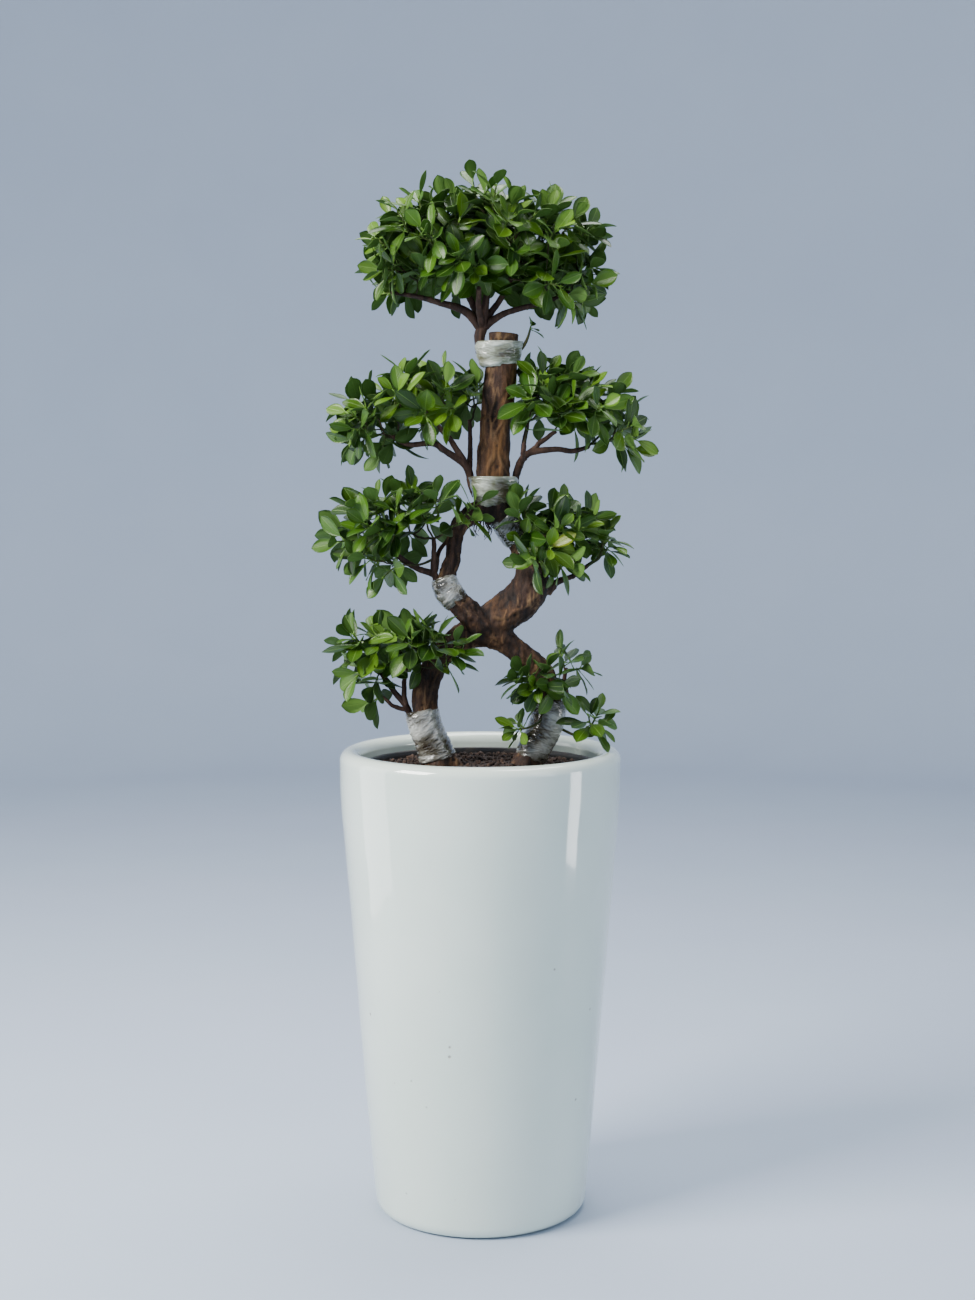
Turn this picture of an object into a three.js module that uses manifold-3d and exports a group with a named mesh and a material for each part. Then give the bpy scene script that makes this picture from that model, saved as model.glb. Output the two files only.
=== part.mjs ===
// A grafted ficus bonsai in a tall glazed planter.
//
// Units are millimetres and +Z is up. The origin is the centre of the planter's flat underside, +X runs
// from the tree's left leg to its right leg, and -Y is the front.
//
// The planter holds a plastic liner, and the liner holds the soil. The tree stands in the soil on two
// legs that meet in a knot. Above the knot two arms part round an open loop and meet again in a single
// trunk, which is cut off flat at the top. Scions are grafted on at seven places. Tape binds each
// graft, and each scion carries sprigs: short green shoots with leaves.

import * as THREE from "three";
import { mergeVertices } from "three/addons/utils/BufferGeometryUtils.js";
import Module from "manifold-3d";

const wasm = await Module();
wasm.setup();

// ---------------------------------------------------------------------------- driving dimensions

const GAP = 0.4; // clearance kept between two pieces that touch
const ROUND = 32; // sides of the planter, liner and soil

const POT = {
  height: 665,
  baseRadius: 151.5,
  slope: 0.0822, // how much the radius grows for each millimetre of height
  lipRadius: 15, // the rim is a half round of this radius
  lipBore: 170.5, // radius of the opening inside the rim
  collar: 50, // height of the upright band under the top of the rim
  corner: 18, // radius where the wall meets the underside
  wall: 18,
  floor: 24,
};
const DRAIN = { count: 3, radius: 8, ring: 62 }; // holes through planter and liner

const LINER = { baseRadius: 122, topRadius: 165, top: 644, wall: 2.5, bead: 2.5 };
const SOIL = { edge: 633, crown: 642 }; // height of the soil at the liner and in the middle

const LEAF = {
  count: 5, // leaves in a tier, round the shoot
  tiers: [
    // share of the shoot's reach, angle from its direction, and size
    { share: 0.4, open: 1.35, size: 1 },
    { share: 1, open: 0.8, size: 0.9 },
  ],
  width: 0.54, // shares of a leaf's length: its width, where it is widest, its fold and droop
  widest: 0.6,
  fold: 0.06,
  droop: 0.1,
  thickness: 2, // at the shoot
  scales: [1, 0.8, 0.6, 0.4], // sizes tried where a tier has little room
};
const SHOOT = { radius: 1.8, lift: 0.2 };
const UP = new THREE.Vector3(0, 0, 1);

// ---------------------------------------------------------------------------- the tree's plan

// Each limb of wood runs through points [x, y, z, radius].
const TRUNK_LIMBS = {
  leftLeg: [
    [-44, 4, 560, 11], [-50, 2, 600, 18], [-57, 0, 636, 26], [-63, -1, 662, 21], [-74, -3, 694, 18.5],
    [-79, -3, 720, 17.5], [-78, -2, 750, 18.5], [-70, 0, 778, 16.5], [-54, 2, 801, 16.5],
    [-32, 3, 819, 18.5], [-10, 3, 832, 22], [8, 2, 842, 24],
  ],
  rightLeg: [
    [52, 6, 560, 11], [58, 5, 600, 17], [66, 4, 636, 23], [74, 3, 660, 20], [90, 2, 692, 19.5],
    [98, 2, 728, 19], [92, 2, 762, 17.5], [74, 2, 788, 16.5], [50, 1, 806, 16.5], [26, 0, 822, 19],
    [2, 0, 836, 24],
  ],
  leftArm: [
    [6, -8, 838, 19], [-13, -12, 855, 17.5], [-31, -10, 872, 16], [-44, -6, 892, 14], [-45, -2, 914, 11.5],
    [-40, 0, 936, 10.5], [-38, 0, 958, 10.5], [-28, 0, 981, 11.5], [-9, 0, 998, 14], [14, 0, 1007, 17],
  ],
  rightArm: [
    [8, 4, 842, 25], [34, 2, 857, 27], [60, 0, 878, 27.5], [74, -2, 903, 25], [68, -2, 931, 18.5],
    [54, 0, 956, 16], [42, 0, 976, 16.5], [28, 0, 998, 19],
  ],
  stem: [
    [24, 0, 990, 20], [21, 0, 1020, 22.5], [18, 0, 1050, 23.5], [17.5, 0, 1070, 23], [19.5, 0, 1100, 21.8],
    [21.5, 0, 1131, 22.3], [25.5, 0, 1162, 22.8], [28, 0, 1193, 22.5], [30.5, 0, 1225, 21.5],
    [33, 0, 1251, 21.5],
  ],
};
const ROOTS = [
  [[-54, -3, 654, 14], [-38, -8, 640, 12], [-22, -12, 622, 8], [-6, -18, 590, 4]],
  [[-60, 0, 640, 15], [-84, -16, 618, 10], [-108, -36, 584, 4]],
  [[-58, 6, 636, 14], [-66, 34, 612, 10], [-74, 66, 574, 4]],
  [[68, 0, 650, 13], [50, -6, 640, 9], [36, -12, 628, 6.5], [22, -20, 600, 4]],
  [[70, 2, 640, 14], [92, -18, 616, 10], [112, -40, 580, 4]],
  [[66, 8, 636, 14], [72, 38, 610, 9], [84, 68, 572, 4]],
];
const SIDE_BRANCH = [[92, -5, 890, 10], [111, -6, 904, 4.6], [132, -6, 912, 3.8], [152, -5, 926, 3]];

// Each pad of foliage: where its sprigs point away from, its scion's limbs, and its sprigs. A sprig is
// [limb, share along that limb where its twig leaves, x, y, z of the twig's end].
const PADS = {
  crown: {
    focus: [0, 0, 1262],
    limbs: [
      [[2, 0, 1207, 2.5], [-1, 0, 1226, 6], [-1, -1, 1246, 7.8], [3, 0, 1262, 8]],
      [[2, 0, 1256, 7], [-22, -8, 1280, 6], [-54, -14, 1291, 4.6], [-88, -16, 1300, 3.4]],
      [[4, 0, 1257, 6], [30, -8, 1276, 4.6], [58, -12, 1284, 3.8], [90, -10, 1293, 3]],
      [[3, 0, 1258, 6], [-14, 6, 1296, 4.6], [-32, 8, 1326, 3.6], [-44, 4, 1352, 2.8]],
      [[3, 0, 1258, 6.5], [9, -2, 1298, 5], [8, 0, 1340, 3.8], [6, 4, 1380, 2.8]],
      [[4, 0, 1258, 5.5], [24, 6, 1292, 4.4], [42, 10, 1326, 3.4], [56, 6, 1352, 2.6]],
      [[2, 0, 1258, 5.5], [2, 28, 1284, 4.4], [0, 56, 1312, 3.4]],
      [[3, 0, 1258, 5.5], [-2, -26, 1284, 4.2], [-2, -54, 1308, 3.2]],
    ],
    reach: 42, leaf: 42,
    sprigs: [
      [1, 0.95, -112, -22, 1316], [1, 0.7, -92, -58, 1340], [3, 0.9, -82, 14, 1376],
      [4, 0.7, -34, -40, 1398], [4, 1, 8, 4, 1412], [5, 0.8, 52, -34, 1398], [5, 0.95, 92, 10, 1370],
      [2, 0.7, 92, -56, 1338], [2, 0.95, 118, -12, 1308], [7, 0.9, 2, -86, 1344],
      [6, 0.9, -42, 84, 1350], [6, 0.95, 48, 84, 1350],
    ],
  },
  middle_left: {
    focus: [-20, 0, 1062],
    limbs: [
      [[-9.5, 0, 1022, 2], [-13, 0, 1040, 4.2], [-14, 0, 1054, 5.6], [-22, -2, 1068, 5.6], [-46, -6, 1084, 4.6],
        [-68, -8, 1097, 4.2], [-100, -8, 1096, 3.6], [-128, -6, 1110, 2.8]],
      [[-20, -1, 1064, 5], [-34, -2, 1090, 4.2], [-52, -4, 1114, 3.4], [-72, -6, 1138, 2.6]],
      [[-17, 0, 1058, 4.4], [-14, 12, 1092, 3.4], [-16, 16, 1130, 2.6]],
    ],
    reach: 36, leaf: 42,
    sprigs: [
      [0, 1, -156, -8, 1130], [0, 0.8, -122, -58, 1142], [1, 0.95, -100, 46, 1160], [1, 0.8, -62, -48, 1172],
      [2, 1, -34, 46, 1168],
    ],
  },
  middle_right: {
    focus: [62, 0, 1060],
    limbs: [
      [[46, 0, 1022, 2], [49, 0, 1040, 4], [51, -1, 1056, 5.4], [66, -4, 1083, 5], [104, -8, 1088, 4],
        [128, -8, 1085, 3.6], [152, -6, 1092, 3]],
      [[64, -4, 1080, 4.6], [84, -4, 1098, 3.6], [106, -6, 1114, 3]],
      [[62, -4, 1074, 4.2], [62, 10, 1104, 3.2], [68, 16, 1134, 2.6]],
      [[56, -2, 1064, 4], [60, -22, 1084, 3.2], [62, -34, 1098, 2.6]],
    ],
    reach: 36, leaf: 42,
    sprigs: [
      [0, 1, 186, -8, 1114], [0, 0.85, 162, -56, 1128], [1, 1, 136, 46, 1144], [1, 0.8, 112, -46, 1150],
      [2, 1, 84, 44, 1164], [3, 1, 62, -66, 1122],
    ],
  },
  lower_left: {
    focus: [-60, 0, 905],
    limbs: [
      [[-61, -5, 882, 2], [-64, -4, 898, 4], [-67, -3, 912, 5], [-92, -4, 922, 4.2], [-122, -6, 946, 3.6],
        [-146, -6, 974, 2.8]],
      [[-67, -3, 910, 4.6], [-66, -8, 936, 3.8], [-66, -10, 964, 3]],
      [[-66, -3, 914, 4], [-60, 18, 940, 3.2], [-46, 22, 962, 2.6]],
    ],
    reach: 32, leaf: 42,
    sprigs: [
      [0, 1, -168, -6, 988], [0, 0.8, -132, -52, 974], [1, 0.9, -106, 40, 996], [1, 1, -72, -44, 996],
      [2, 1, -38, 46, 984],
    ],
  },
  lower_right: {
    focus: [64, 0, 940],
    limbs: [
      [[61.5, 2, 983, 2.2], [69, 2, 972, 4], [77, 0, 968, 4.2], [92, -4, 966, 3.4], [108, -6, 964, 2.6]],
      [[76, 0, 968, 3.6], [82, 6, 980, 2.8], [90, 10, 986, 2.2]],
    ],
    reach: 32, leaf: 42,
    sprigs: [[0, 1, 130, -26, 966], [1, 1, 100, 40, 984], [0, 0.4, 84, -50, 950]],
  },
  base_left: {
    focus: [-84, 0, 720],
    limbs: [
      [[-97, -4, 690, 2], [-101, -4, 706, 4], [-104, -4, 722, 4.8], [-120, -6, 744, 4], [-140, -8, 772, 3]],
      [[-106, -5, 728, 4], [-108, -12, 762, 3.2], [-102, -22, 790, 2.6]],
      [[-104, -4, 720, 3.6], [-126, -6, 728, 2.8], [-144, -8, 742, 2.2]],
    ],
    reach: 32, leaf: 42,
    sprigs: [
      [0, 1, -158, -8, 798], [2, 1, -162, -22, 752], [0, 0.9, -122, 44, 796], [1, 0.9, -118, -46, 804],
      [1, 1, -76, -54, 802],
    ],
  },
  base_right: {
    focus: [102, 0, 740],
    limbs: [
      [[116, 0, 706, 2], [120, -1, 722, 3.8], [121, -3, 742, 4.2], [116, -10, 764, 3.6], [118, -12, 776, 3]],
      [[120, -4, 746, 3.6], [104, -26, 750, 2.8], [92, -30, 756, 2.4]],
    ],
    reach: 24, leaf: 38,
    sprigs: [[0, 1, 126, 10, 786], [1, 1, 76, -44, 764]],
  },
};

// Sprigs that sprout straight from old wood, each on a stalk from its foot to its end.
const SPROUTS = {
  loop_sprig: { foot: [153, -5, 927], end: [168, -6, 938], reach: 30, leaf: 38 },
  low_right_sprig: { foot: [121, -4, 692], end: [142, -14, 690], reach: 20, leaf: 36 },
  low_left_sprig: { foot: [82.5, -23.5, 703], end: [64, -34, 690], reach: 14, leaf: 34 },
  top_sprig: { foot: [62, -4, 1236], end: [64, -5, 1242], reach: 9, leaf: 22 },
};

// Tape round each graft: its outer envelope as a limb, and how deep it is compared with its width.
const TAPES = {
  top_graft_tape: { depth: 0.88, path: [[27, 0, 1204, 28.5], [26, 0, 1220, 32], [26, 0, 1239, 34]] },
  middle_graft_tape: {
    depth: 0.84, path: [[23, 0, 1009, 27], [20, 0, 1024, 31], [18.5, 0, 1038, 35], [18.5, 0, 1051, 37.5]],
  },
  left_arm_tape: { depth: 1, path: [[-31, -10, 872, 18.5], [-46, -6, 890, 20], [-52, -3, 908, 20.5]] },
  right_arm_tape: { depth: 1, path: [[31, 0, 995, 22], [43, 0, 976, 20.5], [53.5, 0, 959, 19.5]] },
  left_leg_tape: {
    depth: 1, path: [[-84, -3, 721, 24.5], [-78, -3, 696, 24.5], [-67, -1, 668, 24.5], [-64, -1, 658, 25]],
  },
  right_leg_tape: {
    depth: 1, path: [[100, 2, 736, 24.5], [95, 2, 700, 25], [81, 3, 668, 24], [76, 3.5, 656, 25]],
  },
};

// ---------------------------------------------------------------------------- solids

// A three.js geometry as a manifold-3d solid, for joining and cutting.
function solidOf(geometry) {
  const bare = geometry.clone();
  bare.deleteAttribute("normal");
  bare.deleteAttribute("uv");
  const merged = mergeVertices(bare, 1e-3);
  return new wasm.Manifold(
    new wasm.Mesh({
      numProp: 3,
      vertProperties: merged.getAttribute("position").array,
      triVerts: new Uint32Array(merged.index.array),
    }),
  );
}

// A manifold-3d solid as a three.js geometry.
function geometryOf(solid) {
  const mesh = solid.getMesh();
  const positions = new Float32Array(mesh.numVert * 3);
  for (let i = 0; i < mesh.numVert; i++) {
    const at = i * mesh.numProp;
    positions.set(mesh.vertProperties.subarray(at, at + 3), i * 3);
  }
  const geometry = new THREE.BufferGeometry();
  geometry.setAttribute("position", new THREE.BufferAttribute(positions, 3));
  geometry.setIndex(new THREE.BufferAttribute(mesh.triVerts, 1));
  geometry.computeVertexNormals();
  return geometry;
}

const join = (solids) => wasm.Manifold.union(solids);

// An outline (radius, height) turned about the Z axis.
function turned(outline) {
  return new THREE.LatheGeometry(outline.getPoints(3), ROUND).rotateX(Math.PI / 2);
}

// Any unit vector square to this one.
function squareTo(direction) {
  const helper = Math.abs(direction.z) < 0.9 ? UP : new THREE.Vector3(1, 0, 0);
  return new THREE.Vector3().crossVectors(helper, direction).normalize();
}

// A smooth curve through a limb's points, which ignores their radii.
function centreline(points) {
  const centres = points.map(([x, y, z]) => new THREE.Vector3(x, y, z));
  return new THREE.CatmullRomCurve3(centres, false, "centripetal");
}

// A closed tapering tube through points [x, y, z, radius]. grow thickens it, past its ends too.
function limb(points, { sides = 8, steps = 2, grow = 0 } = {}) {
  const curve = centreline(points);
  const spans = points.length - 1;
  const rings = spans * steps;
  const positions = [];
  const index = [];
  let side = squareTo(curve.getTangent(0));
  for (let i = 0; i <= rings; i++) {
    const t = i / rings;
    const along = curve.getTangent(t);
    side = side.clone().addScaledVector(along, -side.dot(along)).normalize();
    const other = new THREE.Vector3().crossVectors(along, side);
    const span = Math.min(Math.floor(t * spans), spans - 1);
    const radius = grow + THREE.MathUtils.lerp(points[span][3], points[span + 1][3], t * spans - span);
    const past = i === 0 ? -grow : i === rings ? grow : 0;
    const centre = curve.getPoint(t).addScaledVector(along, past);
    for (let k = 0; k < sides; k++) {
      const turn = (2 * Math.PI * k) / sides;
      const rim = centre.clone().addScaledVector(side, radius * Math.cos(turn));
      positions.push(...rim.addScaledVector(other, radius * Math.sin(turn)));
    }
    if (i === rings) continue;
    for (let k = 0; k < sides; k++) {
      const [a, b] = [i * sides + k, i * sides + ((k + 1) % sides)];
      index.push(a, b, b + sides, a, b + sides, a + sides);
    }
  }
  const last = rings * sides;
  for (let k = 1; k < sides - 1; k++) {
    index.push(0, k + 1, k, last, last + k, last + k + 1);
  }
  const geometry = new THREE.BufferGeometry();
  geometry.setAttribute("position", new THREE.Float32BufferAttribute(positions, 3));
  return geometry.setIndex(index);
}

// ---------------------------------------------------------------------------- planter, liner, soil

// The drain holes as one cutter, long enough to pass through both floors.
function drains() {
  const reach = 2 * (POT.floor + 20);
  const holes = [];
  for (let i = 0; i < DRAIN.count; i++) {
    const turn = (2 * Math.PI * i) / DRAIN.count + Math.PI / 2;
    const hole = new THREE.CylinderGeometry(DRAIN.radius, DRAIN.radius, reach, 12).rotateX(Math.PI / 2);
    hole.translate(DRAIN.ring * Math.cos(turn), DRAIN.ring * Math.sin(turn), 0);
    holes.push(solidOf(hole));
  }
  return join(holes);
}

const potRadius = (z) => POT.baseRadius + POT.slope * z;

function makePot() {
  const lipZ = POT.height - POT.lipRadius;
  const lipCentre = POT.lipBore + POT.lipRadius;
  const outer = lipCentre + POT.lipRadius;
  const shoulder = POT.height - POT.collar - 15;
  const neck = lipZ - 18; // the bore runs straight down to here, then opens to the wall
  const throat = neck - 50;
  const outline = new THREE.Path();
  outline.moveTo(0, 0);
  outline.lineTo(POT.baseRadius - POT.corner, 0);
  outline.quadraticCurveTo(POT.baseRadius, 0, potRadius(POT.corner), POT.corner);
  outline.lineTo(potRadius(shoulder - 40), shoulder - 40);
  outline.quadraticCurveTo(outer, shoulder, outer, lipZ - 12);
  outline.lineTo(outer, lipZ);
  outline.absarc(lipCentre, lipZ, POT.lipRadius, 0, Math.PI, false);
  outline.lineTo(POT.lipBore, neck);
  outline.quadraticCurveTo(POT.lipBore, throat + 20, potRadius(throat) - POT.wall, throat);
  outline.lineTo(potRadius(POT.floor + 16) - POT.wall, POT.floor + 16);
  outline.quadraticCurveTo(potRadius(POT.floor) - POT.wall, POT.floor, POT.baseRadius - 26, POT.floor);
  outline.lineTo(0, POT.floor);
  return geometryOf(solidOf(turned(outline)).subtract(drains()));
}

const linerRadius = (z) =>
  THREE.MathUtils.mapLinear(z, POT.floor, LINER.top, LINER.baseRadius, LINER.topRadius);

function makeLiner() {
  const base = POT.floor + GAP;
  const beadZ = LINER.top - LINER.bead;
  const outline = new THREE.Path();
  outline.moveTo(0, base);
  outline.lineTo(LINER.baseRadius, base);
  outline.lineTo(linerRadius(beadZ - 4), beadZ - 4);
  outline.lineTo(LINER.topRadius + LINER.bead, beadZ - 2);
  outline.quadraticCurveTo(LINER.topRadius + LINER.bead, LINER.top, LINER.topRadius, LINER.top);
  outline.lineTo(LINER.topRadius - LINER.wall, LINER.top);
  outline.lineTo(linerRadius(base) - LINER.wall, base + LINER.wall);
  outline.lineTo(0, base + LINER.wall);
  return geometryOf(solidOf(turned(outline)).subtract(drains()));
}

// The soil fills the liner to a low mound, and leaves room for the wood that stands in it.
function makeSoil(woodCutter) {
  const inside = LINER.wall + GAP;
  const base = POT.floor + 2 * GAP + LINER.wall;
  const edge = linerRadius(SOIL.edge) - inside;
  const outline = new THREE.Path();
  outline.moveTo(0, base);
  outline.lineTo(linerRadius(base) - inside - 0.5, base);
  outline.lineTo(edge, SOIL.edge);
  outline.lineTo(edge * 0.9, SOIL.edge + 4);
  outline.lineTo(edge * 0.45, SOIL.crown - 1);
  outline.lineTo(0, SOIL.crown);
  return geometryOf(solidOf(turned(outline)).subtract(woodCutter));
}

// ---------------------------------------------------------------------------- wood and tape

// The whole trunk, from the roots to the flat cut at the top. grow makes a cutter that clears it.
function trunkSolid(grow = 0) {
  const limbs = Object.values(TRUNK_LIMBS).map((points) => limb(points, { sides: 8, steps: 2, grow }));
  const roots = ROOTS.map((points) => limb(points, { sides: 5, steps: 1, grow }));
  const branch = limb(SIDE_BRANCH, { sides: 5, steps: 1, grow });
  return join([...limbs, ...roots, branch].map(solidOf));
}

// The foot of the shoot that stands clear of the end of a twig.
const footAt = (end, outward) => end.clone().addScaledVector(outward, SHOOT.radius + GAP);

// Where a sprig's twig leaves its limb, ends and points: its end faces away from the pad's focus.
function twigOf(pad, [limbNumber, share, ...end]) {
  const points = pad.limbs[limbNumber];
  const from = centreline(points).getPoint(share);
  const to = new THREE.Vector3(...end);
  const outward = to.clone().sub(new THREE.Vector3(...pad.focus)).normalize();
  const thick = Math.min(points[points.length - 1][3], 2.4);
  const middle = from.clone().lerp(to, 0.5).addScaledVector(UP, -0.06 * from.distanceTo(to));
  const path = [
    [...from, thick],
    [...middle, thick * 0.9],
    [...to, 1.6],
  ];
  return { path, outward, bud: footAt(to, outward) };
}

// One scion: its limbs, and a twig out to each sprig.
function scionSolid(pad, grow = 0) {
  const limbs = pad.limbs.map((points) => limb(points, { sides: 5, steps: 1, grow }));
  const twigs = pad.sprigs.map((row) => limb(twigOf(pad, row).path, { sides: 4, steps: 1, grow }));
  return join([...limbs, ...twigs].map(solidOf));
}

// A tape is wound tight over the wood, so it is its envelope less everything inside it. Chips that the
// cut leaves loose between two limbs are dropped.
function tapeSolid({ depth, path }, cutters) {
  const envelope = limb(path, { sides: 12, steps: 1 }).scale(1, depth, 1);
  const cut = cutters.reduce((left, cutter) => left.subtract(cutter), solidOf(envelope));
  return cut.decompose().sort((a, b) => b.volume() - a.volume())[0];
}

// ---------------------------------------------------------------------------- shoots and leaves

// Repeatable random numbers from 0 to 1.
function randomFrom(seed) {
  let state = seed >>> 0;
  return () => {
    state = (Math.imul(state, 1664525) + 1013904223) >>> 0;
    return state / 2 ** 32;
  };
}

// The direction that leans off axis by an angle, towards a turn about it.
function leaning(axis, angle, turn) {
  const a = squareTo(axis);
  const b = new THREE.Vector3().crossVectors(axis, a);
  return axis
    .clone()
    .multiplyScalar(Math.cos(angle))
    .addScaledVector(a, Math.sin(angle) * Math.cos(turn))
    .addScaledVector(b, Math.sin(angle) * Math.sin(turn))
    .normalize();
}

// A shoot runs up from its foot and carries tiers of leaves, the lower ones open and the upper ones
// steep.
function shootOf({ bud, outward, reach, leaf, seed }) {
  const random = randomFrom(seed);
  const direction = leaning(outward, 0.35 * random(), 2 * Math.PI * random());
  direction.addScaledVector(UP, SHOOT.lift).normalize();
  const phase = 2 * Math.PI * random();
  const tiers = LEAF.tiers.map(({ share, open, size }, i) => ({
    height: reach * share,
    turn: phase + (Math.PI * i) / LEAF.count,
    leaf: leaf * size,
    open,
  }));
  return { foot: bud, direction, tiers };
}

// One shoot as a closed surface: a stem with a side for each leaf of a tier, and at each tier the
// leaves, which are thickest at the stem and fall to a sharp edge. grow thickens it.
function shootSolid({ foot, direction, tiers }, grow = 0) {
  const a = squareTo(direction);
  const b = new THREE.Vector3().crossVectors(direction, a);
  const corners = [];
  const index = [];
  const corner = (radius, turn, height) => {
    const at = foot.clone().addScaledVector(a, radius * Math.cos(turn));
    corners.push(at.addScaledVector(b, radius * Math.sin(turn)).addScaledVector(direction, height));
    return corners.length - 1;
  };
  const sides = Array.from({ length: LEAF.count }, (_, i) => i);
  const step = (2 * Math.PI) / LEAF.count;
  const ring = (turn, height) => sides.map((i) => corner(SHOOT.radius + grow, turn + i * step, height));
  const band = (low, high, i, j) => index.push(low[i], low[j], high[j], low[i], high[j], high[i]);

  let below = ring(tiers[0].turn, tiers[0].start - grow);
  for (let i = 1; i < LEAF.count - 1; i++) index.push(below[0], below[i + 1], below[i]);
  for (const { height, turn, leaf, open, scale } of tiers) {
    const low = ring(turn, height - LEAF.thickness / 2 - grow);
    const high = ring(turn, height + LEAF.thickness / 2 + grow);
    const size = leaf * scale;
    const out = size * Math.sin(open) + grow;
    const rise = size * Math.cos(open);
    const half = Math.atan((0.5 * LEAF.width * size + grow) / (LEAF.widest * out));
    const wide = (LEAF.widest * out) / Math.cos(half);
    for (const i of sides) {
      const j = (i + 1) % LEAF.count;
      band(below, low, i, j);
      if (!scale) {
        band(low, high, i, j);
        continue;
      }
      const middle = turn + (i + 0.5) * step;
      const right = corner(wide, middle - half, height + LEAF.widest * rise + LEAF.fold * size);
      const tip = corner(out, middle, height + rise - LEAF.droop * size);
      const left = corner(wide, middle + half, height + LEAF.widest * rise + LEAF.fold * size);
      index.push(high[i], right, tip, high[i], tip, high[j], tip, left, high[j]);
      index.push(low[i], tip, right, low[i], low[j], tip, tip, low[j], left);
      index.push(low[i], right, high[i], high[j], left, low[j]);
    }
    below = high;
  }
  for (let i = 1; i < LEAF.count - 1; i++) index.push(below[0], below[i], below[i + 1]);
  return solidOf(new THREE.BufferGeometry().setFromPoints(corners).setIndex(index));
}

// True where a solid touches none of the others.
function isFree(solid, others) {
  const { min: low, max: high } = solid.boundingBox();
  return others.every(({ solid: other, min, max }) => {
    const apart = low.some((v, i) => v > max[i]) || high.some((v, i) => v < min[i]);
    return apart || solid.intersect(other).volume() === 0;
  });
}

// One sprig as a solid. A tier of leaves that would touch another piece is made smaller, or left out.
function sprigSolid(sprig, others) {
  const shoot = shootOf(sprig);
  const tiers = shoot.tiers.map((tier) => {
    const start = tier.height - LEAF.thickness;
    const alone = (scale) => shootSolid({ ...shoot, tiers: [{ ...tier, scale, start }] }, GAP);
    return { ...tier, start: 0, scale: LEAF.scales.find((scale) => isFree(alone(scale), others)) ?? 0 };
  });
  return shootSolid({ ...shoot, tiers });
}

// ---------------------------------------------------------------------------- assembly

const finish = (color, roughness) => new THREE.MeshStandardMaterial({ color, roughness, metalness: 0 });
const MATERIALS = {
  glaze: finish(0xe9f0ea, 0.15),
  liner: finish(0x16161a, 0.5),
  soil: finish(0x2a1a14, 0.95),
  bark: finish(0x5a3d28, 0.85),
  twig: finish(0x3c2a20, 0.8),
  tape: finish(0xc9cdbf, 0.3),
  leaf: finish(0x2f6a1c, 0.4),
};

const bonsai = new THREE.Group();
const placed = []; // every solid so far, with its box, for the sprigs to keep clear of

function add(name, geometry, material) {
  const mesh = new THREE.Mesh(geometry, material);
  mesh.name = name;
  bonsai.add(mesh);
  const solid = solidOf(geometry);
  placed.push({ solid, ...solid.boundingBox() });
}

const trunkCutter = trunkSolid(GAP);
const scionCutters = Object.values(PADS).map((pad) => scionSolid(pad, GAP));

add("planter", makePot(), MATERIALS.glaze);
add("liner", makeLiner(), MATERIALS.liner);
add("soil", makeSoil(trunkCutter), MATERIALS.soil);
add("trunk", geometryOf(trunkSolid()), MATERIALS.bark);
for (const [name, pad] of Object.entries(PADS)) {
  add(`${name}_branches`, geometryOf(scionSolid(pad)), MATERIALS.twig);
}
for (const [name, tape] of Object.entries(TAPES)) {
  add(name, geometryOf(tapeSolid(tape, [trunkCutter, ...scionCutters])), MATERIALS.tape);
}

let seed = 0;
for (const [name, pad] of Object.entries(PADS)) {
  pad.sprigs.forEach((row, i) => {
    seed += 101;
    const sprig = { ...twigOf(pad, row), reach: pad.reach, leaf: pad.leaf, seed };
    add(`${name}_sprig_${i + 1}`, geometryOf(sprigSolid(sprig, placed)), MATERIALS.leaf);
  });
}
for (const [name, { foot, end, reach, leaf }] of Object.entries(SPROUTS)) {
  seed += 101;
  const bud = new THREE.Vector3(...end);
  const outward = bud.clone().sub(new THREE.Vector3(...foot)).normalize();
  const stalk = limb([[...foot, 1.8], [...end, 1.4]], { sides: 4, steps: 1 });
  const leaves = sprigSolid({ bud, outward, reach, leaf, seed }, placed);
  add(name, geometryOf(join([solidOf(stalk), leaves])), MATERIALS.leaf);
}

export default bonsai;
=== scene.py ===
"""A grafted ficus bonsai in a tall glazed planter: the looks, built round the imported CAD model."""

import math

import bpy
import numpy as np
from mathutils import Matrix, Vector, noise


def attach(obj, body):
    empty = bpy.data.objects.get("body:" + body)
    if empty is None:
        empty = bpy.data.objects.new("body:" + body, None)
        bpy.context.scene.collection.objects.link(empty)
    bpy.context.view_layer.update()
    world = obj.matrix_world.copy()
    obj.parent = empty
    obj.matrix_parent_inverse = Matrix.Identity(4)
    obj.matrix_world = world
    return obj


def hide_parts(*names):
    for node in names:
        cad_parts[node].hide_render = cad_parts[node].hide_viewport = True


MM = 0.001
UP = np.array([0.0, 0.0, 1.0])
FRONT = np.array([0.0, -1.0, 0.4])
GOLDEN = math.pi * (3 - math.sqrt(5))
rng = np.random.default_rng(20)

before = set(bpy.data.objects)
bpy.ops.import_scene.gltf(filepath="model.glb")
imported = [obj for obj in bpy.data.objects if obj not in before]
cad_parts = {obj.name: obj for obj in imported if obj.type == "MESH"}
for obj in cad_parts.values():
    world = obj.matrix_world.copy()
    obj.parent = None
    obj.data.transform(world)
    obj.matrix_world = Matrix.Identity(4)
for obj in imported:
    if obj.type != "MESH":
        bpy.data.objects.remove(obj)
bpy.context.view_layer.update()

# -------- camera and light

SKY_COLOR, SKY_STRENGTH = (0.78, 0.87, 0.97, 1), 0.60
# metres, degrees down, and a focal length in millimetres for a sensor 36 mm high
CAMERA = dict(height=1.0471, distance=2.7624, side=0.0099, pitch=5.0, focal=54.083)


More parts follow.
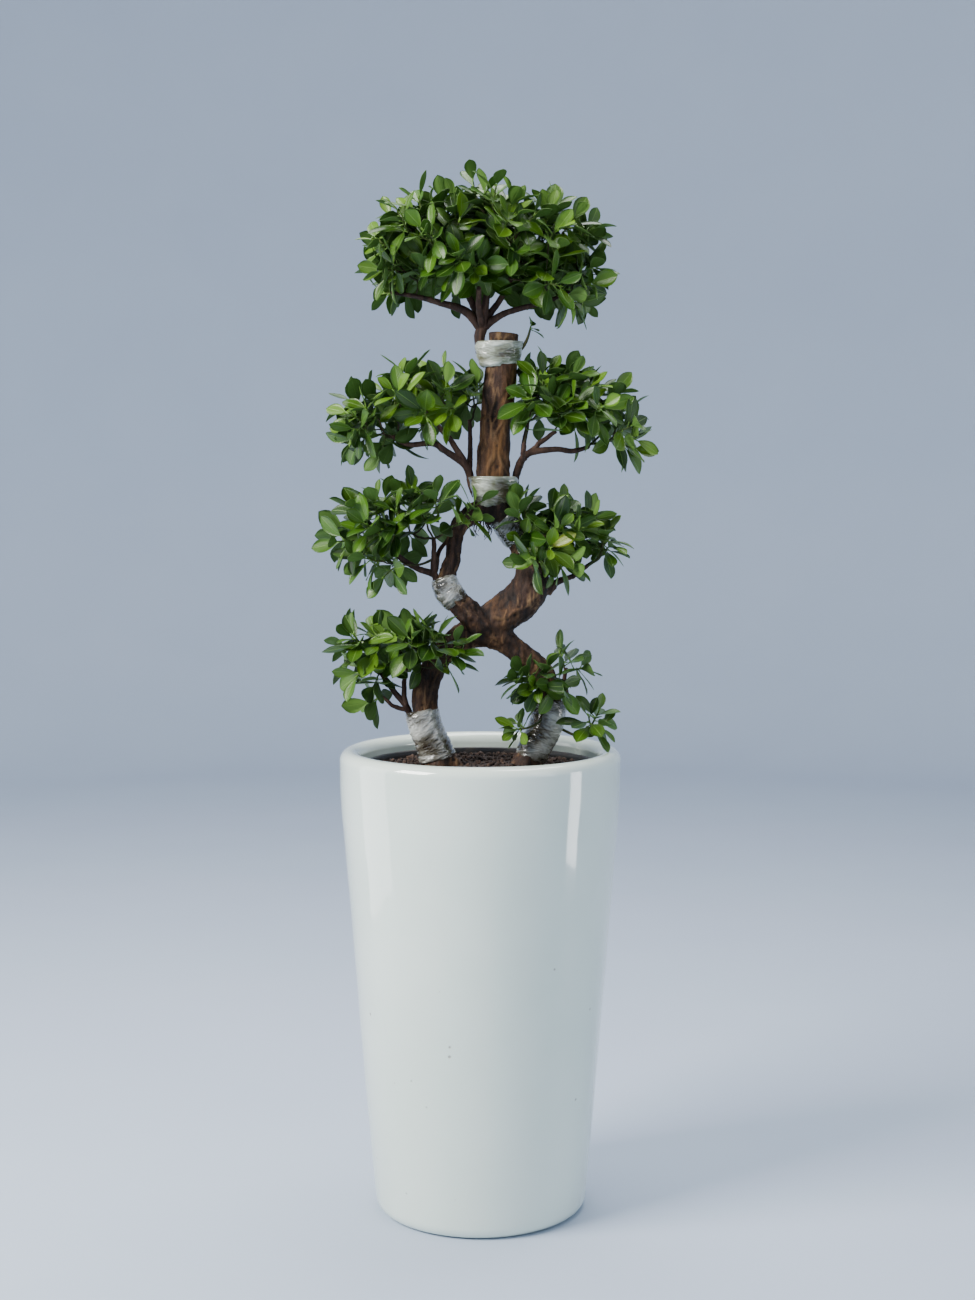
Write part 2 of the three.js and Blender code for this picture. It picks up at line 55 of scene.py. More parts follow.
def make_camera():
    data = bpy.data.cameras.new("camera")
    data.sensor_width = 36
    data.lens = CAMERA["focal"]
    data.clip_end = 50
    camera = bpy.data.objects.new("camera", data)
    camera.location = (CAMERA["side"], -CAMERA["distance"], CAMERA["height"])
    camera.rotation_euler = (math.radians(90 - CAMERA["pitch"]), 0, 0)
    bpy.context.scene.collection.objects.link(camera)
    bpy.context.scene.camera = camera


def area_light(name, place, target, width, height, power, color=(1, 1, 1)):
    data = bpy.data.lights.new(name, "AREA")
    data.shape, data.size, data.size_y = "RECTANGLE", width, height
    data.energy, data.color = power, color
    light = bpy.data.objects.new(name, data)
    light.location = place
    aim = Vector(target) - Vector(place)
    light.rotation_euler = aim.to_track_quat("-Z", "Y").to_euler()
    bpy.context.scene.collection.objects.link(light)
    return light


def make_lights():
    area_light("key", (-2.6, -1.5, 2.7), (0, 0, 0.9), 1.7, 1.5, 285, (1.0, 0.985, 0.95))
    area_light("fill", (2.2, -1.7, 1.9), (0, 0, 0.7), 0.9, 2.4, 13, (0.93, 0.97, 1.0))
    area_light("top", (0.3, 0.7, 3.3), (0, 0, 1.0), 2.0, 1.6, 92, (0.97, 0.99, 1.0))
    # two strips that show only as reflections in the glaze
    for strip in (
        area_light("right_strip", (1.42, -0.30, 0.50), (0, 0, 0.42), 0.28, 0.85, 6),
        area_light("left_strip", (-1.50, 0.05, 0.45), (0, 0, 0.42), 0.80, 2.0, 15),
    ):
        strip.visible_diffuse = False
    world = bpy.data.worlds.new("world")
    world.use_nodes = True
    background = world.node_tree.nodes["Background"]
    background.inputs["Color"].default_value = SKY_COLOR
    background.inputs["Strength"].default_value = SKY_STRENGTH
    bpy.context.scene.world = world


# -------- node materials


class Nodes:
    """A short way to write a material: each call adds a node and links its inputs."""

    def __init__(self, name):
        self.material = bpy.data.materials.new(name)
        self.material.use_nodes = True
        self.tree = self.material.node_tree
        self.shader = self.tree.nodes["Principled BSDF"]

    def put(self, node, socket, value):
        if isinstance(value, bpy.types.NodeSocket):
            self.tree.links.new(value, node.inputs[socket])
        elif value is not None:
            node.inputs[socket].default_value = value

    def add(self, kind, output=0, inputs=None, **settings):
        node = self.tree.nodes.new(kind)
        for key, value in settings.items():
            setattr(node, key, value)
        for socket, value in (inputs or {}).items():
            self.put(node, socket, value)
        return node.outputs[output]

    def attribute(self, name):
        return self.add("ShaderNodeAttribute", "Fac", attribute_name=name)

    def place(self, scale=(1, 1, 1)):
        where = self.add("ShaderNodeTexCoord", "Object")
        return self.add("ShaderNodeMapping", inputs={"Vector": where, "Scale": scale})

    def noise(self, scale, detail=4.0, rough=0.55, stretch=(1, 1, 1), distortion=0.0):
        values = {"Vector": self.place(stretch), "Scale": scale, "Detail": detail,
                  "Roughness": rough, "Distortion": distortion}
        return self.add("ShaderNodeTexNoise", "Fac", values)

    def math(self, operation, a, b=None):
        return self.add("ShaderNodeMath", 0, {0: a, 1: b}, operation=operation)

    def times(self, a, b):
        return self.math("MULTIPLY", a, b)

    def total(self, a, share_a, b, share_b):
        return self.math("ADD", self.times(a, share_a), self.times(b, share_b))

    def span(self, value, low, high, to_low=0.0, to_high=1.0):
        """value from low to high, as to_low to to_high, with nothing outside."""
        values = {"Value": value, "From Min": low, "From Max": high, "To Min": to_low, "To Max": to_high}
        return self.add("ShaderNodeMapRange", 0, values)

    def mix(self, factor, a, b):
        """Colour a where factor is 0, and b where it is 1."""
        node = self.tree.nodes.new("ShaderNodeMix")
        node.data_type = "RGBA"
        self.put(node, 0, factor)
        for socket, value in ((6, a), (7, b)):
            self.put(node, socket, (*value, 1) if isinstance(value, tuple) else value)
        return node.outputs[2]

    def ramp(self, factor, stops):
        node = self.tree.nodes.new("ShaderNodeValToRGB")
        self.put(node, 0, factor)
        while len(node.color_ramp.elements) < len(stops):
            node.color_ramp.elements.new(0.5)
        for element, (where, color) in zip(node.color_ramp.elements, stops):
            element.position, element.color = where, (*color, 1)
        return node.outputs[0]

    def finish(self, color, roughness, bump=None, depth=0.001, **sockets):
        self.put(self.shader, "Base Color", color)
        self.put(self.shader, "Roughness", roughness)
        for name, value in sockets.items():
            self.shader.inputs[name.replace("_", " ")].default_value = value
        if bump is not None:
            values = {"Height": bump, "Distance": depth, "Strength": 1.0}
            self.put(self.shader, "Normal", self.add("ShaderNodeBump", 0, values))
        return self.material


def glaze_material():
    m = Nodes("glaze")
    cloud = m.noise(5.0, 3, 0.5)
    color = m.mix(m.span(cloud, 0.35, 0.7), (0.69, 0.790, 0.690), (0.77, 0.850, 0.755))
    height = m.add("ShaderNodeSeparateXYZ", "Z", {0: m.add("ShaderNodeTexCoord", "Object")})
    color = m.mix(m.span(height, 0.0, 0.5, 0.35, 0.0), color, (0.73, 0.815, 0.715))
    # firing pits: small round spots, few and only on the lower part
    spots = m.add("ShaderNodeTexVoronoi", "Distance", {"Vector": m.place(), "Scale": 26.0, "Randomness": 1.0})
    rare = m.span(m.noise(17.0, 1, 0.5), 0.46, 0.50)
    pit = m.times(m.times(m.span(spots, 0.070, 0.035), rare), m.span(height, 0.52, 0.4))
    color = m.mix(m.times(pit, 0.8), color, (0.30, 0.29, 0.24))
    relief = m.total(m.noise(38.0, 2, 0.5), 0.06, pit, -0.6)
    rough = m.span(cloud, 0.3, 0.7, 0.07, 0.12)
    return m.finish(color, rough, relief, 0.001, Coat_Weight=0.8, Coat_Roughness=0.03)


def liner_material():
    m = Nodes("liner")
    dust = m.noise(60.0, 5, 0.6)
    color = m.mix(m.span(dust, 0.45, 0.8), (0.010, 0.010, 0.011), (0.045, 0.035, 0.028))
    return m.finish(color, m.span(dust, 0.3, 0.7, 0.35, 0.6), dust, 0.0002)


def soil_material():
    m = Nodes("soil")
    speck = m.noise(420.0, 4, 0.65)
    tone = m.span(m.total(speck, 0.6, m.attribute("tone"), 0.4), 0.25, 0.8)
    wet, damp, dry = (0.007, 0.004, 0.003), (0.024, 0.012, 0.008), (0.060, 0.031, 0.019)
    color = m.ramp(tone, [(0.0, wet), (0.45, damp), (0.8, dry), (1.0, (0.13, 0.08, 0.05))])
    return m.finish(color, 0.93, speck, 0.0012)


def bark_material(name, dark, middle, light, warm):
    """Bark whose grain runs up the trunk. Attributes say where it is warm (with a painted highlight down the
    stem's front), where it is creased and darkened with painted shade, where it is green and where a strand
    lies.
    """
    m = Nodes(name)
    grain = m.noise(90.0, 6, 0.62, (1, 1, 0.22), 0.6)
    blotch = m.noise(22.0, 3, 0.55, (1, 1, 0.6))
    fine = m.noise(520.0, 4, 0.6)
    tone = m.total(grain, 0.6, blotch, 0.4)
    color = m.ramp(m.span(tone, 0.40, 0.64), [(0.0, dark), (0.5, middle), (1.0, light)])
    # warm bark; down the stem's front it is also the painted highlight
    warm_and_lit = m.ramp(m.span(tone, 0.38, 0.60), [(0.0, middle), (1.0, warm)])
    color = m.mix(m.attribute("warm"), color, warm_and_lit)
    # painted shade: creases and hollows are darkened towards the dark colour
    color = m.mix(m.times(m.span(m.attribute("crease"), 0.0, 1.0), 0.8), color, dark)
    color = m.mix(m.times(m.attribute("green"), 0.85), color, (0.060, 0.105, 0.016))
    color = m.mix(m.span(fine, 0.60, 0.75, 0.0, 0.35), color, light)
    color = m.mix(m.times(m.attribute("strand"), 0.4), color, light)
    relief = m.total(grain, 0.7, fine, 0.3)
    return m.finish(color, m.span(blotch, 0.3, 0.7, 0.62, 0.82), relief, 0.0024, Specular_IOR_Level=0.25)


def leaf_material():
    """A leaf, by how far along and across it a point lies. It has a pale rib, side veins and a pale edge."""
    m = Nodes("leaf")
    deep, plain, new = (0.008, 0.032, 0.002), (0.037, 0.109, 0.004), (0.130, 0.258, 0.008)
    pale_vein, pale_under, pale_edge = (0.16, 0.29, 0.05), (0.075, 0.160, 0.024), (0.11, 0.21, 0.04)
    side, under = m.math("ABSOLUTE", m.attribute("across")), m.attribute("under")
    cloud = m.noise(160.0, 3, 0.6)
    color = m.mix(m.span(m.total(m.attribute("tint"), 1.0, cloud, 0.5), 0.2, 1.3), deep, plain)
    color = m.mix(m.attribute("young"), color, new)
    color = m.mix(m.attribute("yellow"), color, (0.17, 0.22, 0.003))
    wave = m.math("FRACT", m.total(m.attribute("along"), 9.0, side, -2.6))
    vein = m.span(m.math("ABSOLUTE", m.math("SUBTRACT", wave, 0.5)), 0.09, 0.0, 0.0, 0.30)
    lines = m.math("MAXIMUM", vein, m.span(side, 0.085, 0.03))
    color = m.mix(m.times(lines, 0.45), color, pale_vein)
    color = m.mix(m.times(under, 0.75), color, pale_under)
    color = m.mix(m.span(side, 0.90, 1.0, 0.0, 0.4), color, pale_edge)
    rough = m.total(m.span(cloud, 0.3, 0.7, 0.30, 0.44), 1.0, under, 0.25)
    relief = m.total(lines, -0.5, cloud, 0.35)
    gloss = dict(Specular_IOR_Level=0.36, Coat_Weight=0.03, Coat_Roughness=0.25)
    return m.finish(color, rough, relief, 0.0005, **gloss)


def tape_material(name, clear, milk_and_highlight, dirt_and_shade):
    """Clear film, milky in random patches with a painted highlight along its wrinkles' ridges, with dirt
    under it, darker along its edges and painted shade in its wrinkles' hollows.
    """
    m = Nodes(name)
    cloud = m.noise(42.0, 4, 0.6)
    stain = m.noise(24.0, 5, 0.65)
    tone = m.total(m.attribute("sheen"), 0.8, cloud, 0.2)
    # from dirt through clear film to milky film, with the painted highlight along the wrinkles' ridges at the
    # top
    color = m.ramp(m.span(tone, 0.10, 0.85), [(0.0, dirt_and_shade), (0.36, clear), (1.0, milk_and_highlight)])
    # darker along the turns' edges, and painted shade in the wrinkles' hollows
    color = m.mix(m.times(m.attribute("crease"), 0.55), color, dirt_and_shade)
    color = m.mix(m.span(stain, 0.50, 0.70, 0.0, 0.6), color, dirt_and_shade)
    relief = m.total(cloud, 0.4, m.noise(300.0, 4, 0.6, (1, 1, 1.6)), 0.25)
    rough = m.span(cloud, 0.3, 0.7, 0.10, 0.26)
    return m.finish(color, rough, relief, 0.0012, Coat_Weight=1.0, Coat_Roughness=0.07)


# -------- meshes


class Build:
    """Collects vertices, faces and point attributes, and makes one object of them."""

    def __init__(self):
        self.points, self.faces, self.attributes, self.count = [], [], {}, 0

    def add(self, points, faces, **attributes):
        points = np.asarray(points, float).reshape(-1, 3)
        self.faces += [tuple(int(i) + self.count for i in face) for face in faces]
        self.points.append(points)
        for key, value in attributes.items():
            self.attributes.setdefault(key, []).append(np.broadcast_to(value, len(points)))
        self.count += len(points)

    def mesh(self, name):
        mesh = bpy.data.meshes.new(name)
        mesh.from_pydata(np.vstack(self.points).tolist(), [], self.faces)
        return mesh

    def make(self, name, material, slot, replaces=()):
        mesh = self.mesh(name)
        for key, values in self.attributes.items():
            write_attribute(mesh, key, np.concatenate(values))
        mesh.validate()
        place_mesh(name, mesh, material, replaces)


def write_attribute(mesh, name, values):
    mesh.attributes.new(name, "FLOAT", "POINT").data.foreach_set("value", values.astype(np.float32))


def smooth_object(name, mesh, material):
    mesh.materials.clear()
    mesh.materials.append(material)
    mesh.polygons.foreach_set("use_smooth", [True] * len(mesh.polygons))
    made = bpy.data.objects.new(name, mesh)
    bpy.context.scene.collection.objects.link(made)
    return made


def place_mesh(name, mesh, material, replaces=()):
    piece = smooth_object(name, mesh, material)
    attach(piece, "root")
    if replaces:
        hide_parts(*replaces)


def to_share(values):
    return np.clip(values, 0, 1)


def unit(v):
    v = np.asarray(v, float)
    return v / np.maximum(np.linalg.norm(v, axis=-1, keepdims=True), 1e-12)


def square_to(direction):
    helper = UP if abs(direction[2]) < 0.9 else np.array([1.0, 0, 0])
    return unit(np.cross(helper, direction))


def smooth_path(points, step=4.0):
    """Points [x, y, z, radius] in millimetres as a dense smooth path in metres."""
    p = np.array(points, float) * MM
    p = np.vstack([2 * p[0] - p[1], p, 2 * p[-1] - p[-2]])
    spans = []
    for i in range(1, len(p) - 2):
        a, b, c, d = p[i - 1 : i + 3]
        n = max(2, int(np.linalg.norm(c[:3] - b[:3]) / (step * MM)))
        t = (np.arange(n) / n)[:, None]
        spans.append(b + 0.5 * t * (c - a + t * (2 * a - 5 * b + 4 * c - d + t * (3 * b - a - 3 * c + d))))
    path = np.vstack([*spans, p[-2:-1]])
    path[:, 3] = np.clip(path[:, 3], min(points, key=lambda q: q[3])[3] * MM * 0.9, None)
    return path


def circle(steps):
    """Angles once round, without the last, which is the first again."""
    return np.linspace(0, 2 * math.pi, steps, endpoint=False)


def frames_along(centres):
    """At each point of a path, two directions square to it and to each other that don't twist."""
    along = unit(np.gradient(centres, axis=0))
    side = np.zeros_like(along)
    side[0] = square_to(along[0])
    for i in range(1, len(along)):
        side[i] = unit(side[i - 1] - along[i] * np.dot(side[i - 1], along[i]))
    return side, np.cross(along, side)


def grid_faces(rows, columns, closed=True):
    """Quads between rows of points; closed joins each row's end to its start."""
    faces = []
    for i in range(rows - 1):
        for k in range(columns if closed else columns - 1):
            j = (k + 1) % columns
            faces.append((i * columns + k, i * columns + j, (i + 1) * columns + j, (i + 1) * columns + k))
    return faces


def capped(points, sides, first, last):
    """Rings of points as one closed skin, with a point in the middle of each end."""
    end = len(points)
    faces = grid_faces(end // sides, sides)
    for k in range(sides):
        j = (k + 1) % sides
        faces += [(end, j, k), (end + 1, end - sides + k, end - sides + j)]
    return np.vstack([points, first, last]), faces


def tube(path, sides, shape=None):
    """A closed tube round a path. shape(s, turn) is added to the radius, with s in metres from the foot."""
    centres = path[:, :3]
    side, other = frames_along(centres)
    turn = circle(sides)
    s = np.concatenate([[0], np.cumsum(np.linalg.norm(np.diff(centres, axis=0), axis=1))])
    radius = np.repeat(path[:, 3:4], sides, 1)
    if shape is not None:
        radius = radius + shape(s[:, None], turn[None, :])
    ring = side[:, None] * np.cos(turn)[None, :, None] + other[:, None] * np.sin(turn)[None, :, None]
    points = (centres[:, None] + ring * radius[..., None]).reshape(-1, 3)
    return capped(points, sides, centres[0], centres[-1])


def lathe(profile, sides, wobble):
    """An outline (radius, height) that starts and ends on the Z axis, turned about it.

    wobble(height, turn) is added to the radius."""
    profile = np.asarray(profile, float)
    turn = circle(sides)
    inner = profile[1:-1]
    radius = inner[:, :1] + wobble(inner[:, 1:2], turn[None, :])
    height = np.repeat(inner[:, 1:], sides, 1)
    points = np.stack([radius * np.cos(turn), radius * np.sin(turn), height], -1).reshape(-1, 3)
    return capped(points, sides, [0, 0, profile[0, 1]], [0, 0, profile[-1, 1]])


def arc(centre, radius, start, end, steps):
    angles = np.radians(np.linspace(start, end, steps))
    return [(centre[0] + radius * math.cos(a), centre[1] + radius * math.sin(a)) for a in angles]


def bend(a, corner, b, steps=8):
    """A quadratic curve from a to b, pulled to corner."""
    a, corner, b = (np.array(p, float) for p in (a, corner, b))
    return [tuple((1 - t) ** 2 * a + 2 * t * (1 - t) * corner + t * t * b) for t in np.linspace(0, 1, steps)]


def sample_noise(points, scale, seed=0.0):
    """Perlin noise from -1 to 1 at each point."""
    shift = Vector((seed, seed * 1.7, -seed))
    return np.array([noise.noise(Vector(p) * scale + shift) for p in points])


# -------- the plan of the tree, in millimetres

TRUNK_LIMBS = {
    "left_leg": [
        (-44, 4, 560, 11), (-50, 2, 600, 18), (-57, 0, 636, 26), (-63, -1, 662, 21), (-74, -3, 694, 18.5),
        (-79, -3, 720, 17.5), (-78, -2, 750, 18.5), (-70, 0, 778, 16.5), (-54, 2, 801, 16.5),
        (-32, 3, 819, 18.5), (-10, 3, 832, 22), (8, 2, 842, 24),
    ],
    "right_leg": [
        (52, 6, 560, 11), (58, 5, 600, 17), (66, 4, 636, 23), (74, 3, 660, 20), (90, 2, 692, 19.5),
        (98, 2, 728, 19), (92, 2, 762, 17.5), (74, 2, 788, 16.5), (50, 1, 806, 16.5), (26, 0, 822, 19),
        (2, 0, 836, 24),
    ],
    "left_arm": [
        (6, -8, 838, 19), (-13, -12, 855, 17.5), (-31, -10, 872, 16), (-44, -6, 892, 14),
        (-45, -2, 914, 11.5), (-40, 0, 936, 10.5), (-38, 0, 958, 10.5), (-28, 0, 981, 11.5),
        (-9, 0, 998, 14), (14, 0, 1007, 17),
    ],
    "right_arm": [
        (8, 4, 842, 25), (34, 2, 857, 27), (60, 0, 878, 27.5), (74, -2, 903, 25), (68, -2, 931, 18.5),
        (54, 0, 956, 16), (42, 0, 976, 16.5), (28, 0, 998, 19),
    ],
    "stem": [
        (24, 0, 990, 20), (21, 0, 1020, 22.5), (18, 0, 1050, 23.5), (17.5, 0, 1070, 23),
        (19.5, 0, 1100, 21.8), (21.5, 0, 1131, 22.3), (25.5, 0, 1162, 22.8), (28, 0, 1193, 22.5),
        (30.5, 0, 1225, 21.5), (33, 0, 1251, 21.5),
    ],
}
ROOTS = [
    [(-54, -3, 654, 14), (-38, -8, 640, 12), (-22, -12, 622, 8), (-6, -18, 590, 4)],
    [(-60, 0, 640, 15), (-84, -16, 618, 10), (-108, -36, 584, 4)],
    [(-58, 6, 636, 14), (-66, 34, 612, 10), (-74, 66, 574, 4)],
    [(68, 0, 650, 13), (50, -6, 640, 9), (36, -12, 628, 6.5), (22, -20, 600, 4)],
    [(70, 2, 640, 14), (92, -18, 616, 10), (112, -40, 580, 4)],
    [(66, 8, 636, 14), (72, 38, 610, 9), (84, 68, 572, 4)],
]
SIDE_BRANCH = [(92, -5, 890, 10), (111, -6, 904, 4.6), (132, -6, 912, 3.8), (152, -5, 926, 3)]
# Each pad: the point its shoots face away from, its scion's limbs, the lobes (centre and radii) that its
# shoots start in, how many shoots there are, how far apart, and how long they and their leaves are.
PADS = {
    "crown": dict(
        focus=(0, 0, 1262),
        limbs=[
            [(2, 0, 1207, 2.5), (-1, 0, 1226, 6), (-1, -1, 1246, 7.8), (3, 0, 1262, 8)],
            [(2, 0, 1256, 7), (-22, -8, 1280, 6), (-54, -14, 1291, 4.6), (-88, -16, 1300, 3.4),
             (-124, -10, 1306, 2.4)],
            [(4, 0, 1257, 6), (30, -8, 1276, 4.6), (58, -12, 1284, 3.8), (90, -10, 1293, 3),
             (126, -6, 1308, 2.2)],
            [(3, 0, 1258, 6), (-14, 6, 1296, 4.6), (-32, 8, 1326, 3.6), (-44, 4, 1352, 2.8)],
            [(3, 0, 1258, 6.5), (9, -2, 1298, 5), (8, 0, 1340, 3.8), (6, 4, 1380, 2.8)],
            [(4, 0, 1258, 5.5), (24, 6, 1292, 4.4), (42, 10, 1326, 3.4), (56, 6, 1352, 2.6)],
            [(2, 0, 1258, 5.5), (2, 28, 1284, 4.4), (0, 56, 1312, 3.4)],
            [(3, 0, 1258, 5.5), (-2, -26, 1284, 4.2), (-2, -54, 1308, 3.2)],
        ],
        lobes=[(-4, 0, 1372, 84, 80, 56), (-82, 0, 1362, 58, 60, 50), (86, 0, 1360, 56, 60, 50),
               (-98, 0, 1322, 50, 60, 20), (100, 0, 1322, 48, 60, 20)],
        shoots=104, apart=17, reach=26, leaf=49,
    ),
    "middle_left": dict(
        focus=(-20, 0, 1062),
        limbs=[
            [(-9.5, 0, 1022, 2), (-13, 0, 1040, 4.2), (-14, 0, 1054, 5.6), (-22, -2, 1068, 5.6),
             (-46, -6, 1084, 4.6), (-68, -8, 1097, 4.2), (-100, -8, 1096, 3.6), (-128, -6, 1110, 2.8)],
            [(-20, -1, 1064, 5), (-34, -2, 1090, 4.2), (-52, -4, 1114, 3.4), (-72, -6, 1138, 2.6)],
            [(-17, 0, 1058, 4.4), (-14, 12, 1092, 3.4), (-16, 16, 1130, 2.6)],
        ],
        lobes=[(-142, 0, 1126, 38, 42, 22), (-84, 0, 1156, 44, 50, 26), (-28, 8, 1160, 26, 40, 20)],
        shoots=30, apart=19, reach=25, leaf=49,
    ),
    "middle_right": dict(
        focus=(62, 0, 1060),
        limbs=[
            [(46, 0, 1022, 2), (49, 0, 1040, 4), (51, -1, 1056, 5.4), (66, -4, 1083, 5), (104, -8, 1088, 4),
             (128, -8, 1085, 3.6), (152, -6, 1092, 3)],
            [(64, -4, 1080, 4.6), (84, -4, 1098, 3.6), (106, -6, 1114, 3)],
            [(62, -4, 1074, 4.2), (62, 10, 1104, 3.2), (68, 16, 1134, 2.6)],
            [(56, -2, 1064, 4), (60, -22, 1084, 3.2), (62, -34, 1098, 2.6)],
        ],
        lobes=[(88, 0, 1158, 32, 46, 26), (140, 0, 1142, 44, 48, 26), (178, -4, 1114, 24, 34, 14),
               (64, -38, 1112, 10, 8, 14)],
        shoots=34, apart=19, reach=25, leaf=49,
    ),
    "lower_left": dict(
        focus=(-62, 0, 905),
        limbs=[
            [(-61, -5, 882, 2), (-64, -4, 898, 4), (-67, -3, 912, 5), (-92, -4, 922, 4.2),
             (-122, -6, 946, 3.6), (-146, -6, 974, 2.8), (-172, -4, 994, 2)],
            [(-67, -3, 910, 4.6), (-66, -8, 936, 3.8), (-66, -10, 964, 3)],
            [(-66, -3, 914, 4), (-60, 18, 940, 3.2), (-46, 22, 962, 2.6)],
        ],
        lobes=[(-160, 0, 976, 34, 34, 22), (-108, 0, 988, 34, 42, 22), (-48, 0, 992, 34, 42, 14),
               (-122, -8, 934, 22, 20, 12)],
        shoots=26, apart=19, reach=24, leaf=49,
    ),
    "lower_right": dict(
        focus=(60, 0, 950),
        limbs=[
            [(61.5, 2, 983, 2.2), (69, 2, 972, 4), (77, 0, 968, 4.2), (92, -4, 966, 3.4),
             (108, -6, 964, 2.6)],
            [(76, 0, 968, 3.6), (82, 6, 980, 2.8), (90, 10, 986, 2.2)],
            [(76, 0, 968, 3.4), (80, -20, 964, 2.8), (82, -34, 958, 2.2)],
        ],
        lobes=[(88, -4, 974, 30, 40, 16), (92, -40, 940, 18, 8, 18), (64, -34, 984, 14, 8, 10),
               (128, 0, 974, 18, 30, 16)],
        shoots=23, apart=18, reach=20, leaf=48, yellow=(112, -54, 966),
    ),
    "base_left": dict(
        focus=(-92, 0, 735),
        limbs=[
            [(-97, -4, 690, 2), (-101, -4, 706, 4), (-104, -4, 722, 4.8), (-120, -6, 744, 4),
             (-140, -8, 772, 3)],
            [(-106, -5, 728, 4), (-108, -12, 762, 3.2), (-102, -22, 790, 2.6)],
            [(-104, -4, 720, 3.6), (-126, -6, 728, 2.8), (-144, -8, 742, 2.2)],
        ],
        lobes=[(-150, 0, 796, 30, 34, 24), (-98, -8, 806, 34, 38, 18), (-56, -40, 798, 22, 14, 12),
               (-146, -10, 748, 18, 20, 12)],
        shoots=26, apart=19, reach=22, leaf=49,
    ),
    "base_right": dict(
        focus=(104, 0, 735),
        limbs=[
            [(116, 0, 706, 2), (120, -1, 722, 3.8), (121, -3, 742, 4.2), (118, -8, 762, 3.2),
             (122, -10, 780, 2.4)],
            [(120, -4, 746, 3.6), (104, -26, 750, 2.8), (92, -30, 756, 2.4)],
        ],
        lobes=[(84, -38, 764, 24, 12, 8), (128, -8, 782, 10, 10, 5)],
        shoots=8, apart=15, reach=15, leaf=44,
    ),
}
# Shoots from old wood: a stalk's points, how many shoots it ends in, and how many leaves each has.
SPROUTS = {
    "loop_sprig": dict(
        stalk=[(146, -5, 922, 2.6), (156, -5, 929, 2.6), (168, -6, 938, 2.2), (172, -6, 956, 1.8)],
        shoots=4, count=6, reach=16, leaf=42,
    ),
    "low_right_sprig": dict(
        stalk=[(106, -2, 698, 2.2), (122, -8, 690, 2.1), (136, -18, 686, 1.8), (150, -26, 692, 1.6),
               (158, -28, 704, 1.4)],
        shoots=3, count=6, reach=17, leaf=42,
    ),
    "low_left_sprig": dict(
        stalk=[(90, -16, 712, 2.0), (80, -27, 704, 1.8), (68, -33, 699, 1.6), (58, -36, 697, 1.4)],
        shoots=2, count=6, reach=9, leaf=38,
    ),
    "top_sprig": dict(
        stalk=[(50, -4, 1222, 2.6), (60, -5, 1232, 2.4), (66, -6, 1244, 1.9), (69, -6, 1254, 1.4)],
        shoots=1, count=4, reach=7, leaf=22,
    ),
}
# Grafting tape: how deep each wrap is as a share of its width, and its path's points with radii.
TAPES = {
    "top_graft_tape": (0.88, [(27, 0, 1204, 28.5), (26, 0, 1220, 32), (26, 0, 1239, 34)]),
    "middle_graft_tape": (0.84, [(22, 0, 1008, 26.5), (20, 0, 1022, 31.5), (18.5, 0, 1038, 35),
                                 (18.5, 0, 1051, 37.5)]),
    "left_arm_tape": (1, [(-31, -10, 872, 18.5), (-46, -6, 890, 20), (-52, -3, 908, 20.5)]),
    "right_arm_tape": (1, [(31, 0, 995, 22), (43, 0, 976, 20.5), (53.5, 0, 959, 19.5)]),
    "left_leg_tape": (1, [(-84, -3, 721, 24.5), (-78, -3, 696, 24.5), (-66, -1, 666, 25.5),
                          (-62, -1, 650, 29)]),
    "right_leg_tape": (1, [(100, 2, 736, 24.5), (94, 2, 700, 25), (78, 3, 666, 24), (73, 3.5, 650, 25)]),
}

# -------- planter, liner and soil

POT_HEIGHT, POT_BASE, POT_SLOPE = 0.665, 0.1515, 0.0822
LIP, LIP_BORE = 0.015, 0.1705
SOIL_EDGE, SOIL_LEVEL, SOIL_CROWN, CRUMBS = 0.1612, 0.6335, 0.0075, 1500
# the sides of an icosahedron, by the corners that chip() gives it
CHIP_SIDES = [(0, 11, 5), (0, 5, 1), (0, 1, 7), (0, 7, 10), (0, 10, 11), (1, 5, 9), (5, 11, 4), (11, 10, 2),
              (10, 7, 6), (7, 1, 8), (3, 9, 4), (3, 4, 2), (3, 2, 6), (3, 6, 8), (3, 8, 9), (4, 9, 5),
              (2, 4, 11), (6, 2, 10), (8, 6, 7), (9, 8, 1)]


def pot_radius(z):
    return POT_BASE + POT_SLOPE * z


def make_planter():
    wall, floor = 0.018, 0.024
    lip_z = POT_HEIGHT - LIP
    outer = LIP_BORE + 2 * LIP
    shoulder = POT_HEIGHT - 0.065
    neck = lip_z - 0.018
    throat = neck - 0.05
    profile = [(0, 0.0035), (0.118, 0.0035), (0.122, 0.0)]
    profile += bend((POT_BASE - wall, 0), (POT_BASE, 0), (pot_radius(wall), wall), 10)
    profile += [(pot_radius(z), z) for z in np.linspace(0.03, shoulder - 0.045, 60)]
    below = shoulder - 0.04
    profile += bend((pot_radius(below), below), (outer, shoulder), (outer, lip_z - 0.012), 14)
    profile += arc((LIP_BORE + LIP, lip_z), LIP, 0, 180, 26)
    profile += [(LIP_BORE, neck)]
    inside = pot_radius(throat) - wall
    profile += bend((LIP_BORE, neck - 0.004), (LIP_BORE, throat + 0.02), (inside, throat), 8)
    profile += [(pot_radius(z) - wall, z) for z in np.linspace(throat - 0.02, 0.04, 12)]
    profile += [(0.1255, floor), (0, floor)]

    def hand_made(z, turn):
        slow = 0.0005 * np.sin(2 * turn + 9 * z) + 0.0003 * np.sin(3 * turn - 14 * z + 1)
        return slow + 0.00012 * np.sin(7 * turn + 60 * z)

    build = Build()
    build.add(*lathe(profile, 256, hand_made))
    build.make("glazed_planter", glaze_material(), "glaze", ["planter"])


